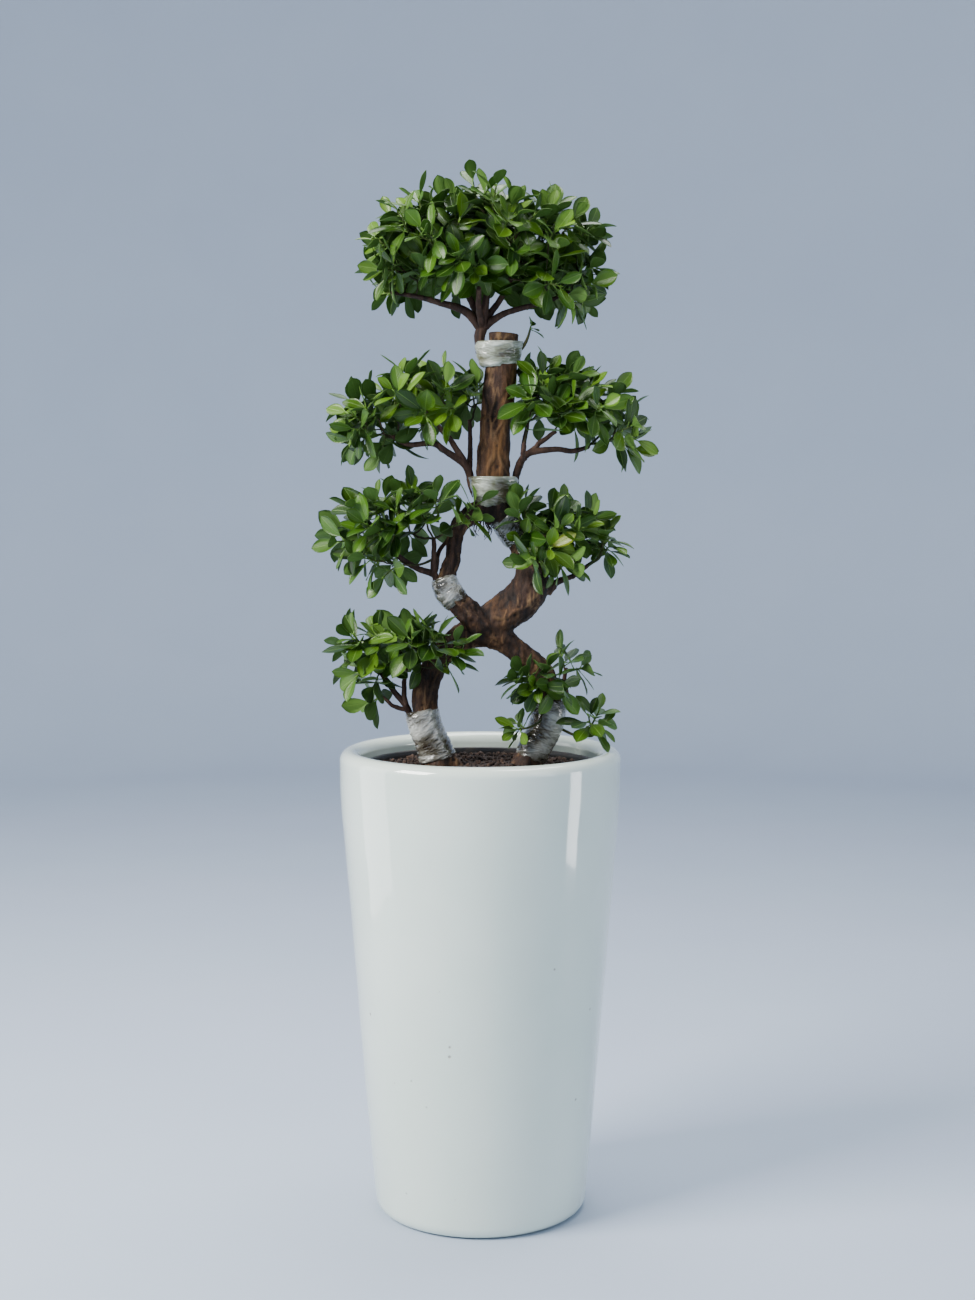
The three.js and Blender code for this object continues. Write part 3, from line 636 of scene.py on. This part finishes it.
def make_liner():
    def radius(z):
        return 0.122 + (z - 0.024) / 0.62 * 0.043

    profile = [(0, 0.0246), (0.1218, 0.0246)]
    profile += [(radius(z), z) for z in np.linspace(0.03, 0.637, 14)]
    profile += arc((0.1668, 0.6420), 0.0018, -70, 90, 6)
    profile += [(0.1632, 0.6436), (0.1624, 0.6425)]
    profile += [(radius(z) - 0.0024, z) for z in np.linspace(0.637, 0.03, 14)]
    profile += [(0.119, 0.0272), (0, 0.0272)]

    def uneven(z, turn):
        return 0.0007 * np.sin(3 * turn + 1) * (z > 0.5) + 0.0003 * np.sin(8 * turn) * (z > 0.6)

    build = Build()
    build.add(*lathe(profile, 160, uneven))
    build.make("nursery_liner", liner_material(), "liner", ["liner"])


def make_soil():
    rings, sides = 120, 320
    turn = circle(sides)
    radii = SOIL_EDGE * np.linspace(0, 1, rings + 1)[1:, None]
    x, y = (radii * np.cos(turn)).ravel(), (radii * np.sin(turn)).ravel()
    out = np.hypot(x, y) / SOIL_EDGE
    flat = np.stack([x, y, np.zeros_like(x)], -1)
    lumps, crumbs, grains = sample_noise(flat, 28, 3), sample_noise(flat, 170, 7), sample_noise(flat, 420, 11)
    z = SOIL_LEVEL + SOIL_CROWN * (1 - out**2) + 0.0022 * lumps + 0.0017 * np.abs(crumbs) + 0.0008 * grains
    z = np.minimum(z, 0.6445 - 0.004 * out**6)
    skirt = [np.stack([r * np.cos(turn), r * np.sin(turn), np.full(sides, h)], -1)
             for r, h in ((SOIL_EDGE, 0.61), (0.118, 0.03))]
    points, faces = capped(np.vstack([np.stack([x, y, z], -1), *skirt]), sides, [0, 0, 0.641], [0, 0, 0.03])
    tone = np.full(len(points), 0.5)
    tone[: len(crumbs)] = to_share(0.5 + 0.5 * crumbs)
    build = Build()
    build.add(points, [face[::-1] for face in faces], tone=tone)
    for _ in range(CRUMBS):
        where, r = rng.uniform(0, 2 * math.pi), 0.158 * math.sqrt(rng.uniform())
        size = MM * (1.0 + 2.4 * rng.uniform() ** 3)
        stretch = unit(rng.normal(size=3)) * size * rng.uniform(0.2, 1.6)
        base = SOIL_LEVEL + 0.001 + SOIL_CROWN * (1 - (r / SOIL_EDGE) ** 2)
        chip(build, (r * math.cos(where), r * math.sin(where), base + size * 0.4), size, stretch)
    build.make("potting_soil", soil_material(), "soil", ["soil"])


def chip(build, centre, size, stretch):
    """A small broken lump of bark or soil: an icosahedron pushed out of shape."""
    g = (1 + math.sqrt(5)) / 2
    corners = np.array([np.roll((a, b * g, 0), k) for k in range(3) for b in (1, -1) for a in (-1, 1)])
    shape = corners / 1.9 * size * rng.uniform(0.7, 1.2, (12, 1))
    shape = shape + np.outer(np.sign(shape @ stretch), stretch) * 0.5
    build.add(shape + np.array(centre), CHIP_SIDES, tone=rng.uniform(0.1, 1.0))


# -------- the trunk


def limb_shape(seed, flutes, depth, rings):
    """The relief of a woody limb: slow flutes that wind round it, finer ridges, and creases across it."""
    local = np.random.default_rng(seed)
    phase = local.uniform(0, 2 * math.pi, 6)
    twist = local.uniform(4, 14, 3) * local.choice([-1, 1], 3)
    creases = [(local.uniform(0, 0.35), local.uniform(0, 2 * math.pi), local.uniform(0.0009, 0.0018))
               for _ in range(rings)]

    def shape(s, turn):
        swell = np.sin(s * 70 + phase[0]) * np.cos(turn - phase[1] + 10 * s)
        flute = np.cos(flutes * turn + twist[0] * s + phase[2] + 0.8 * np.sin(s * 45))
        ridge = np.cos(11 * turn + 3 * twist[1] * s + phase[3] + 1.5 * np.sin(s * 90 + phase[5]))
        fine = np.cos(19 * turn + 4 * twist[2] * s + phase[4] + 2.0 * np.sin(s * 130))
        out = depth * (0.5 * swell + 0.45 * flute) + 0.00045 * ridge + 0.0003 * fine
        for at, side, deep in creases:
            out = out - deep * np.exp(-(((s - at) / 0.0022) ** 2)) * (0.5 + 0.5 * np.cos(turn - side))
        return out

    return shape


def remeshed(build, voxel):
    """One watertight skin round everything in build."""
    raw = bpy.data.objects.new("raw", build.mesh("raw"))
    bpy.context.scene.collection.objects.link(raw)
    skin = raw.modifiers.new("skin", "REMESH")
    skin.mode, skin.voxel_size = "VOXEL", voxel
    made = bpy.data.meshes.new_from_object(raw.evaluated_get(bpy.context.evaluated_depsgraph_get()))
    bpy.data.objects.remove(raw)
    return made


def read(items, key):
    """The vector of each vertex or normal of a mesh."""
    flat = np.zeros(len(items) * 3, np.float32)
    items.foreach_get(key, flat)
    return flat.reshape(-1, 3).astype(float)


def write_points(mesh, points):
    mesh.vertices.foreach_set("co", points.ravel())
    mesh.update()


def neighbours(mesh):
    """Two lists of vertices: each edge's two ends, and then the same the other way round."""
    edges = np.zeros(len(mesh.edges) * 2, int)
    mesh.edges.foreach_get("vertices", edges)
    a, b = edges.reshape(-1, 2).T
    return np.concatenate([a, b]), np.concatenate([b, a])


def relaxed(values, links, weight, rounds):
    """Points, each moved towards the mean of its neighbours by weight, rounds times over."""
    here, there = links
    count = np.maximum(np.bincount(here, minlength=len(values)), 1)
    for _ in range(rounds):
        mean = np.stack([np.bincount(here, values[there, k], len(values)) / count for k in range(3)], -1)
        values = values + weight * (mean - values)
    return values


def distance_to(points, path):
    """How far each point is from a limb's skin, negative inside it."""
    best = np.full(len(points), 1e9)
    for centre in path[::2]:
        best = np.minimum(best, np.linalg.norm(points - centre[:3], axis=1) - centre[3])
    return best


TRUNK_VOXEL, SAWN_TOP, ROOTLETS = 0.00168, 1.2515, 16
# bark's dark, middle, light and warm colours; the warm one also paints the highlight down the stem's front
TRUNK_BARK = ((0.009, 0.005, 0.004), (0.044, 0.021, 0.012), (0.21, 0.121, 0.054), (0.40, 0.176, 0.046))
TWIG_BARK = ((0.010, 0.006, 0.005), (0.036, 0.018, 0.013), (0.11, 0.065, 0.045), (0.12, 0.06, 0.035))
# Aerial roots grown on to the bark: the limb, the shares of it they run between, where round it they
# start (turns, 0 at the right and 0.75 at the front), how many turns they wind, and their radius in mm.
STRANDS = [
    (4, 0.10, 0.90, 0.62, 0.30, 1.9), (4, 0.16, 0.94, 0.90, -0.34, 1.7), (4, 0.30, 0.98, 0.70, 0.42, 1.5),
    (4, 0.24, 0.80, 0.56, 0.12, 1.8), (4, 0.12, 0.60, 0.98, -0.12, 1.9), (4, 0.34, 0.95, 0.15, 0.30, 1.7),
    (4, 0.20, 0.90, 0.35, -0.24, 1.8), (3, 0.10, 0.75, 0.70, 0.34, 2.0), (3, 0.30, 0.95, 0.88, -0.22, 1.8),
    (3, 0.15, 0.80, 0.20, 0.20, 2.0), (0, 0.35, 0.95, 0.70, 0.24, 2.0), (0, 0.45, 0.90, 0.30, 0.20, 1.8),
    (1, 0.40, 0.95, 0.80, -0.26, 2.0), (1, 0.45, 0.90, 0.20, 0.25, 1.8), (2, 0.15, 0.60, 0.72, 0.20, 1.5),
]


def strand(path, start, end, turn, wind, radius, seed):
    """A thin root that lies half sunk on a limb and wanders round it."""
    a, b = (int(share * (len(path) - 1)) for share in (start, end))
    rows = []
    trail = unit(np.gradient(path[:, :3], axis=0))
    right = unit(np.cross(np.array([0.0, 1.0, 0.0]), trail))
    back = np.cross(trail, right)
    for k in range(a, b, 2):
        share = (k - a) / (b - a)
        sway = 0.22 * math.sin(9 * share + seed) + 0.1 * math.sin(23 * share)
        angle = 2 * math.pi * (turn + wind * share) + sway
        out = math.cos(angle) * right[k] + math.sin(angle) * back[k]
        thick = radius * MM * (1 - 0.5 * share) * (1 + 0.25 * math.sin(31 * share + 2 * seed))
        rows.append((*(path[k, :3] + out * (path[k, 3] + 0.25 * thick)), thick))
    return np.array(rows)


def make_trunk():
    build = Build()
    paths = []
    for i, (name, points) in enumerate(TRUNK_LIMBS.items()):
        path = smooth_path(points, 1.6)
        paths.append(path)
        depth = 0.0022 if name == "stem" else 0.0034
        build.add(*tube(path, 72, limb_shape(40 + i, 3 + i % 3, depth, 3 if name == "stem" else 7)))
    for i, points in enumerate(ROOTS + [SIDE_BRANCH]):
        path = smooth_path(points, 2)
        build.add(*tube(path, 28, limb_shape(70 + i, 3, 0.0008, 1)))
    strands = [strand(paths[row[0]], *row[1:], i) for i, row in enumerate(STRANDS)]
    for path in strands:
        build.add(*tube(path, 12))
    mesh = remeshed(build, TRUNK_VOXEL)
    points, links = read(mesh.vertices, "co"), neighbours(mesh)
    # the joins between limbs are softened, up to where the stem stands alone
    near = np.sort(np.stack([distance_to(points, path) for path in paths]), 0)
    join = to_share(1 - (near[1] - near[0]) / 0.009)
    join[points[:, 2] > 1.04] = 0
    points = relaxed(points, links, 0.6 * join[:, None], 22)
    points = relaxed(points, links, 0.35, 2)
    write_points(mesh, points)
    normals = read(mesh.vertex_normals, "vector")
    # the bark's relief, which stops short of the sawn top
    stretched = points * np.array([1, 1, 0.35])
    lump = sample_noise(points, 45, 1)
    grain = sample_noise(stretched, 190, 2)
    fine = sample_noise(stretched, 520, 4)
    pocks = to_share(sample_noise(points, 130, 9) - 0.35)
    rough = np.where(points[:, 2] > 1.06, 0.6, 1.0)
    relief = rough * (0.0013 * lump + 0.0011 * grain + 0.0006 * fine - 0.0034 * pocks)
    flat_top = to_share((points[:, 2] - (SAWN_TOP - 0.003)) / 0.002)
    points = points + normals * (relief * (1 - flat_top))[:, None]
    points[:, 2] = np.minimum(points[:, 2], SAWN_TOP)
    write_points(mesh, points)
    # what the material needs: painted shade in the creases, the warm front of the stem with its painted
    # highlight, and the strands
    # how hollow the skin is at each point; the bark paints shade there
    hollow = points - relaxed(points, links, 0.5, 12)
    crease = to_share(-np.einsum("ij,ij->i", hollow, normals) / 0.0006)
    stem = to_share((points[:, 2] - 1.045) / 0.03) * to_share((1.215 - points[:, 2]) / 0.02)
    # the warm colour is fullest in a band down the stem's middle as seen from the front: its warm bark, and a
    # painted highlight
    axis_x = np.interp(points[:, 2], [1.05, 1.10, 1.16, 1.25], [0.018, 0.0195, 0.0255, 0.033])
    middle = to_share(1 - np.abs((points[:, 0] - axis_x) / 0.021) ** 2)
    patch = to_share(0.55 + 1.1 * sample_noise(stretched, 30, 5))
    warm = stem * to_share(0.25 + 0.75 * middle) * patch
    warm += 0.25 * (1 - stem) * to_share(sample_noise(points, 24, 6))
    strand_gap = np.min([distance_to(points, np.repeat(path, 2, 0)) for path in strands], 0)
    on_strand = to_share(1 - np.maximum(strand_gap, 0) / 0.0012)
    on_strand *= to_share(0.6 + sample_noise(points, 60, 12))
    for name, values in (("crease", crease), ("warm", to_share(warm)), ("strand", on_strand)):
        write_attribute(mesh, name, values)
    place_mesh("tree_trunk", mesh, bark_material("bark", *TRUNK_BARK), ["trunk"])
    return paths


# -------- scions, twigs, shoots and leaves


def knobbly(seed, size):
    """The relief of a young branch: rings at its nodes and a little unevenness."""
    local = np.random.default_rng(seed)
    phase = local.uniform(0, 2 * math.pi, 4)
    gap = local.uniform(0.011, 0.017)

    def shape(s, turn):
        ring = np.exp(-((((s + phase[3] * 0.002) % gap) - gap / 2) ** 2) / 0.0012**2)
        side = np.cos(turn - phase[0] + 40 * s)
        oval = np.sin(150 * s + phase[1]) * np.cos(2 * turn + phase[2])
        return size * (0.34 * ring + 0.16 * side + 0.10 * oval)

    return shape


def crooked(path, amount, seed):
    """path with small bends, which leave its ends in place."""
    s = np.linspace(0, 1, len(path))
    local = np.random.default_rng(seed)
    out = path.copy()
    for axis in range(3):
        wave = sum(local.normal() * np.sin(math.pi * k * s) / k for k in (2, 3, 5, 7))
        out[:, axis] += amount * wave
    return out


# A leaf's outline: half its width (LEAF_W) at shares of its length (LEAF_U), and LEAF_V across it.
LEAF_U = np.array([0.0, 0.04, 0.14, 0.28, 0.44, 0.60, 0.75, 0.87, 0.95, 1.0])
LEAF_W = np.array([0.05, 0.10, 0.36, 0.68, 0.91, 1.0, 0.90, 0.62, 0.28, 0.02])
LEAF_V = np.array([-1.0, -0.55, -0.07, 0.07, 0.55, 1.0])
LEAF_THICKNESS = 0.00042
# the least room, in metres, that a leaf's middle and a shoot's foot need round them
LEAF_ROOM, SHOOT_ROOM = 0.0060, 0.005


def leaf(build, foot, along, face, size, tint, young, yellow=0.0):
    """A leaf blade on its stalk: a thin closed sheet, creased along its rib, cupped and curled."""
    across = np.cross(face, along)
    width = size * rng.uniform(0.195, 0.275)
    stalk = size * rng.uniform(0.13, 0.20)
    fold, curl, twist = rng.uniform(0.06, 0.30), rng.uniform(-0.10, 0.38), rng.normal() * 0.18
    ripple, phase = rng.uniform(0.0, 0.05), rng.uniform(0, 6.28)
    blade = size - stalk
    u, v = np.meshgrid(LEAF_U, LEAF_V, indexing="ij")
    half = np.interp(u, LEAF_U, LEAF_W) * width
    bend_by = curl * u + 0.25 * curl * u**3
    x = stalk + blade * (u - 0.10 * curl**2 * u**3)
    y = half * v
    z = fold * half * np.abs(v) ** 1.3 - blade * bend_by * u * 0.55
    z += ripple * half * np.sin(9 * u + phase + 2 * v) * np.abs(v) + twist * y * u
    sheet = foot + x[..., None] * along + y[..., None] * across + z[..., None] * face
    top = sheet.reshape(-1, 3)
    under = top - face * LEAF_THICKNESS
    rows, columns = u.shape
    faces = [f[::-1] for f in grid_faces(rows, columns, False)]
    n = rows * columns
    faces += [tuple(i + n for i in f[::-1]) for f in faces]
    rim = [i * columns for i in range(rows)] + [(rows - 1) * columns + k for k in range(1, columns)]
    rim += [i * columns + columns - 1 for i in range(rows - 2, -1, -1)] + list(range(columns - 2, 0, -1))
    faces += [(a, b, b + n, a + n) for a, b in zip(rim, rim[1:] + rim[:1])]
    shared = dict(tint=tint, young=young, yellow=yellow)
    both = np.repeat([0.0, 1.0], n)
    along_both, across_both = np.tile(u.ravel(), 2), np.tile(v.ravel(), 2)
    build.add(np.vstack([top, under]), faces, along=along_both, across=across_both, under=both, **shared)
    middle = foot + along * stalk * 0.5 + face * stalk * 0.04
    rows = [(*foot, 0.0011), (*middle, 0.0009), (*(foot + along * (stalk + 0.0012)), 0.0008)]
    points, sides = tube(np.array(rows), 5)
    shared = dict(tint=0.6, young=max(young, 0.35), yellow=yellow)
    build.add(points, sides, along=0.0, across=0.0, under=0.4, **shared)
    return foot + along * (stalk + blade * 0.55)


class Crowd:
    """The middles of the leaves so far and the limbs, so that each new leaf goes where there is most room."""

    def __init__(self, solids):
        self.taken = []
        self.solids = solids
        self.yellow = None

    def room(self, point):
        room = 1.0
        if self.taken:
            room = np.min(np.linalg.norm(np.array(self.taken) - point, axis=1))
        for path in self.solids:
            gap = np.min(np.linalg.norm(path[:, :3] - point, axis=1) - path[:, 3])
            room = min(room, gap * 0.7)
        above_lip = point[2] - POT_HEIGHT - 0.007
        if above_lip < 0 and np.hypot(point[0], point[1]) > 0.11:
            room = min(room, above_lip)
        return room


def shoot(build, wood, crowd, foot, direction, length, size, count, low, sun):
    """A green shoot with leaves wound up it, the upper ones smaller, steeper and younger."""
    bow = foot + direction * length * 0.5 + unit(rng.normal(size=3)) * length * 0.06
    tip = foot + direction * length
    path = smooth_path(np.array([(*foot, 0.0014), (*bow, 0.0012), (*tip, 0.0009)]) / MM, 3)
    wood.add(*tube(path, 8, knobbly(int(rng.integers(1e6)), 0.0006)), warm=0.0, green=0.9)
    tip = path[-1, :3]
    phase = rng.uniform(0, 2 * math.pi)
    base_tint = rng.uniform(0.0, 0.8)
    fresh = 0.35 if rng.uniform() < 0.18 else 0.0
    for k in range(count):
        share = k / max(count - 1, 1)
        at = path[min(int((low + (1 - low) * share) * (len(path) - 1)), len(path) - 1), :3]
        opening = np.interp(share, [0, 0.6, 1], [1.45, 1.05, 0.5]) + rng.normal() * 0.17
        length_k = size * np.interp(share, [0, 0.4, 1], [0.96, 1.06, 0.76]) * rng.uniform(0.86, 1.14)
        best = None
        for nudge in (0, 0.5, -0.5, 1.0, -1.0, 1.6, -1.6):
            turn = phase + k * GOLDEN + nudge
            along = unit(lean(direction, opening, turn) - UP * rng.uniform(0.0, 0.30) * (1 - share))
            room = crowd.room(at + along * length_k * 0.6 * MM) - 0.001 * abs(nudge)
            if best is None or room > best[0]:
                best = (room, along)
        if best[0] < LEAF_ROOM:
            continue
        along = best[1]
        face = unit(direction + 0.45 * UP + 0.5 * sun + rng.normal(size=3) * 0.22)
        face = unit(face - along * np.dot(face, along))
        young = to_share(rng.normal(0.10, 0.10) + fresh + 0.75 * max(0, share - 0.72) * rng.uniform(0, 2.2))
        old = 0.0
        if crowd.yellow is not None and np.linalg.norm(at + along * 0.025 - crowd.yellow) < 0.020:
            old, crowd.yellow = 1.0, None
        tint = to_share(base_tint + rng.normal() * 0.22)
        crowd.taken.append(leaf(build, at, along, face, length_k * MM, tint, young, old))
    bud = ((-0.001, 0.0010), (0.003, 0.0011), (0.008, 0.0002))
    points, faces = tube(np.array([(*(tip + direction * at), radius) for at, radius in bud]), 6)
    build.add(points, faces, along=0.5, across=0.0, under=0.2, tint=0.7, young=0.8, yellow=0.0)


def lean(direction, angle, turn):
    """direction tipped over by angle, towards the side that turn says."""
    a = square_to(direction)
    b = np.cross(direction, a)
    return unit(direction * math.cos(angle) + (a * math.cos(turn) + b * math.sin(turn)) * math.sin(angle))


def shoot_feet(lobes, count, apart):
    """Points spread through the lobes and the way out of the lobe at each; none is closer than apart."""
    lobes = np.array(lobes, float)
    share = np.prod(lobes[:, 3:], axis=1) ** (2 / 3)
    picks = rng.choice(len(lobes), 6000, p=share / share.sum())
    ball = unit(rng.normal(size=(6000, 3))) * rng.uniform(size=(6000, 1)) ** 0.25
    points = lobes[picks, :3] + ball * lobes[picks, 3:]
    out = unit(ball / lobes[picks, 3:])
    kept = []
    for i, point in enumerate(points):
        if all(np.linalg.norm(point - points[other]) > apart for other in kept):
            kept.append(i)
            if len(kept) == count:
                break
    return points[kept] * MM, out[kept]


def grow(name, pad, number, solids, bark, leaves):
    """A scion: its limbs, and a twig to each shoot from the nearest wood that lies nearer its focus."""
    wood, foliage, crowd = Build(), Build(), Crowd(solids)
    focus = np.array(pad["focus"]) * MM
    if "yellow" in pad:
        crowd.yellow = np.array(pad["yellow"]) * MM
    joints = []
    for i, limb in enumerate(pad["limbs"]):
        path = crooked(smooth_path(limb, 2), 0.0016, 10 * number + i)
        wood.add(*tube(path, 16, knobbly(100 * number + i, 0.0011)), warm=0.3, green=0.0)
        joints += list(path[int(len(path) * (0.45 if i else 0.6)) :: 3])
    feet, out = shoot_feet(pad["lobes"], pad["shoots"], pad["apart"])
    order = np.argsort(np.linalg.norm(feet - focus, axis=1))
    for i, (foot, away) in enumerate(zip(feet[order], out[order])):
        if crowd.room(foot) < SHOOT_ROOM:
            continue
        wooden = np.array(joints)
        gap = np.linalg.norm(wooden[:, :3] - foot, axis=1)
        inward = np.linalg.norm(wooden[:, :3] - focus, axis=1)
        rise = (foot[2] - wooden[:, 2]) / np.maximum(gap, 1e-6)
        cost = gap + 0.05 * (inward > np.linalg.norm(foot - focus) - 0.004) + 0.012 * (rise < 0)
        start = wooden[np.argmin(cost)]
        outward = unit(foot - focus)
        span = np.linalg.norm(foot - start[:3])
        bow = (start[:3] + foot) / 2 - outward * 0.04 * span - UP * 0.06 * span
        thick = min(start[3], 0.0013 + 0.013 * span)
        path = smooth_path(np.array([(*start[:3], thick), (*bow, thick * 0.85), (*foot, 0.0013)]) / MM, 2.5)
        path = crooked(path, 0.03 * span, 500 + 80 * number + i)
        wood.add(*tube(path, 10, knobbly(3000 + 80 * number + i, 0.0007)), warm=0.1, green=0.25)
        joints += list(path[2::3])
        direction = unit(0.65 * outward + 0.75 * away + 0.15 * UP + rng.normal(size=3) * 0.22)
        reach = pad["reach"] * MM * rng.uniform(0.7, 1.25)
        count = int(rng.integers(6, 9))
        sun = unit(outward + away)
        shoot(foliage, wood, crowd, path[-1, :3], direction, reach, pad["leaf"], count, 0.1, sun)
    wood.make(f"{name}_wood", bark, "twig", [f"{name}_branches"])
    sprigs = [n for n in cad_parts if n.startswith(f"{name}_sprig_")]
    foliage.make(f"{name}_leaves", leaves, "leaf", sprigs)


def make_tree(solids):
    bark, leaves = bark_material("twig", *TWIG_BARK), leaf_material()
    make_rootlets(bark)
    for number, (name, pad) in enumerate(PADS.items()):
        grow(name, pad, number, solids, bark, leaves)
    for name, row in SPROUTS.items():
        wood, foliage, crowd = Build(), Build(), Crowd(solids)
        path = smooth_path(row["stalk"], 2)
        wood.add(*tube(path, 8, knobbly(900, 0.0006)), warm=0.1, green=0.5)
        outward = unit(path[-1, :3] - path[-4, :3])
        for i in range(row["shoots"]):
            direction = unit(lean(outward, 0.0 if i == 0 else 0.9, 2.4 * i) + 0.1 * UP)
            start, reach = path[-1 - 2 * i, :3], row["reach"] * MM
            shoot(foliage, wood, crowd, start, direction, reach, row["leaf"], row["count"], 0.25, FRONT)
        wood.make(f"{name}_stalk", bark, "twig")
        foliage.make(f"{name}_leaves", leaves, "leaf", [name])


def make_rootlets(bark):
    """Thin aerial roots that hang from under the top of the loop."""
    build = Build()
    for i in range(ROOTLETS):
        x, y = rng.uniform(-9, 17), rng.uniform(-15, 5)
        drop = rng.uniform(12, 32) * (1 - 0.3 * abs(x - 4) / 13)
        path = [(x, y, 1000, 1.2), (x + rng.normal() * 1.5, y - 2, 990 - 0.2 * drop, 0.9),
                (x + rng.normal() * 2.5, y - 2 + rng.normal() * 2, 990 - 0.6 * drop, 0.7),
                (x + rng.normal() * 3.5, y - 2 + rng.normal() * 3, 990 - drop, 0.35)]
        build.add(*tube(crooked(smooth_path(path, 1.5), 0.0012, 7000 + i), 7), warm=0.2, green=0.0)
    build.make("loop_rootlets", bark, "bark")


# -------- tapes


TAPE_PITCH = 0.0085


def make_tape(name, depth, points, material, seed):
    """Film wound round a graft: uneven slanting turns with loose edges, stretched into wrinkles."""
    path = smooth_path(points, 0.8)
    centres = path[:, :3]
    length = np.sum(np.linalg.norm(np.diff(centres, axis=0), axis=1))
    sides = 200
    local = np.random.default_rng(seed)
    edges = [(local.uniform(0.12, 0.95) * length, local.uniform(0.002, 0.008), local.uniform(0, 6.28),
              local.choice([-1, 1])) for _ in range(int(length / TAPE_PITCH))]
    skew = local.uniform(0, 6.28, 4)

    def lap(s, turn):
        """How many layers lie here, and how near the edge of one is."""
        layers = np.zeros(np.broadcast(s, turn).shape)
        nearest = np.ones_like(layers)
        for at, slant, phase, side in edges:
            gap = side * (s - at - slant * np.sin(turn + phase) - 0.25 * slant * np.sin(3 * turn + 2 * phase))
            layers = layers + 1 / (1 + np.exp(-np.clip(gap / 0.0003, -30, 30)))
            nearest = np.minimum(nearest, np.abs(gap + 0.0005))
        return layers, nearest

    def shape(s, turn):
        layers, _ = lap(s, turn)
        edge = 0.0016 * np.sin(3 * turn + skew[0]) + 0.0009 * np.sin(7 * turn + skew[1])
        tuck = np.exp(-np.maximum(s + edge, 0) / 0.002) + np.exp(-np.maximum(length - s + edge, 0) / 0.002)
        lift = 0.0007 * np.sin(2 * turn + 50 * s + skew[2]) - 0.0008
        return 0.00050 * (layers - len(edges) / 2) - 0.0035 * tuck + lift

    points, faces = tube(path, sides, shape)
    s = np.concatenate([np.repeat(np.linspace(0, length, len(path)), sides), [0, length]])
    turn = np.concatenate([np.tile(circle(sides), len(path)), [0, 0]])
    trail = unit(np.gradient(centres, axis=0))
    nearest_row = np.concatenate([np.repeat(np.arange(len(path)), sides), [0, len(path) - 1]])
    out = unit(points - centres[nearest_row] + 1e-9)
    wrap = out * 1.3 + trail[nearest_row] * ((s + 0.006 * np.sin(turn + skew[3])) / 0.0058)[:, None]
    wave = sample_noise(wrap, 1.0, seed)
    ridge = 1 - np.abs(sample_noise(wrap, 2.1, seed + 3)) * 2
    small = sample_noise(wrap, 4.5, seed + 7)
    away = to_share(np.minimum(s, length - s) / 0.003)
    points = points + out * ((0.0009 * wave + 0.0006 * ridge + 0.00012 * small) * away)[:, None]
    centre = centres.mean(0)
    points[:, 1] = centre[1] + (points[:, 1] - centre[1]) * depth
    _, gap = lap(s, turn)
    # darker along each turn's edge, and painted shade in the hollows of the wrinkles
    crease = to_share(1 - gap / 0.0008) * 0.8 + to_share(-ridge - 0.1) * 0.5
    patch = sample_noise(points, 38, seed + 11)
    # random milky patches, with a painted highlight along each wrinkle's ridge
    sheen = to_share(0.42 + 0.75 * patch + 0.2 * wave + 0.1 * small + 0.35 * to_share(ridge - 0.45))
    build = Build()
    build.add(points, faces, crease=to_share(crease), sheen=sheen)
    build.make(f"{name}_film", material, "graft_tape", [name])


def make_tapes():
    film = tape_material("graft_film", (0.24, 0.26, 0.18), (0.74, 0.78, 0.70), (0.075, 0.062, 0.036))
    silver = tape_material("leg_film", (0.105, 0.095, 0.072), (0.50, 0.50, 0.46), (0.030, 0.022, 0.014))
    # the right arm's wrap: film coloured dark all over
    dark = tape_material("dark_film", (0.030, 0.032, 0.026), (0.11, 0.12, 0.10), (0.012, 0.010, 0.008))
    kinds = dict(left_leg_tape=silver, right_leg_tape=silver, left_arm_tape=silver, right_arm_tape=dark)
    for i, (name, (depth, points)) in enumerate(TAPES.items()):
        make_tape(name, depth, points, kinds.get(name, film), 60 + i)


# -------- the floor

COVE_RADIUS, COVE_BEND, COVE_HEIGHT, COVE_SIDES = 5.4, 1.2, 4.6, 96


def make_stage():
    """A pale floor that curves up into a pale wall all the way round, well behind every camera."""
    cove = arc((COVE_RADIUS - COVE_BEND, COVE_BEND), COVE_BEND, 270, 360, 16)
    profile = [(2.0, 0.0)] + cove + [(COVE_RADIUS, COVE_HEIGHT)]
    points = [(r * math.cos(turn), r * math.sin(turn), z) for r, z in profile for turn in circle(COVE_SIDES)]
    faces = [face[::-1] for face in grid_faces(len(profile), COVE_SIDES)]
    faces += [(len(points), k, (k + 1) % COVE_SIDES) for k in range(COVE_SIDES)]
    build = Build()
    build.add([*points, (0, 0, 0)], faces)
    m = Nodes("floor")
    pale = m.mix(m.noise(3.0, 4, 0.5), (0.45, 0.52, 0.64), (0.49, 0.56, 0.67))
    smooth_object("floor", build.mesh("floor"), m.finish(pale, 0.7))


# -------- everything

make_camera()
make_lights()
make_stage()
make_planter()
make_liner()
make_soil()
trunk_paths = make_trunk()
make_tree(trunk_paths)
make_tapes()
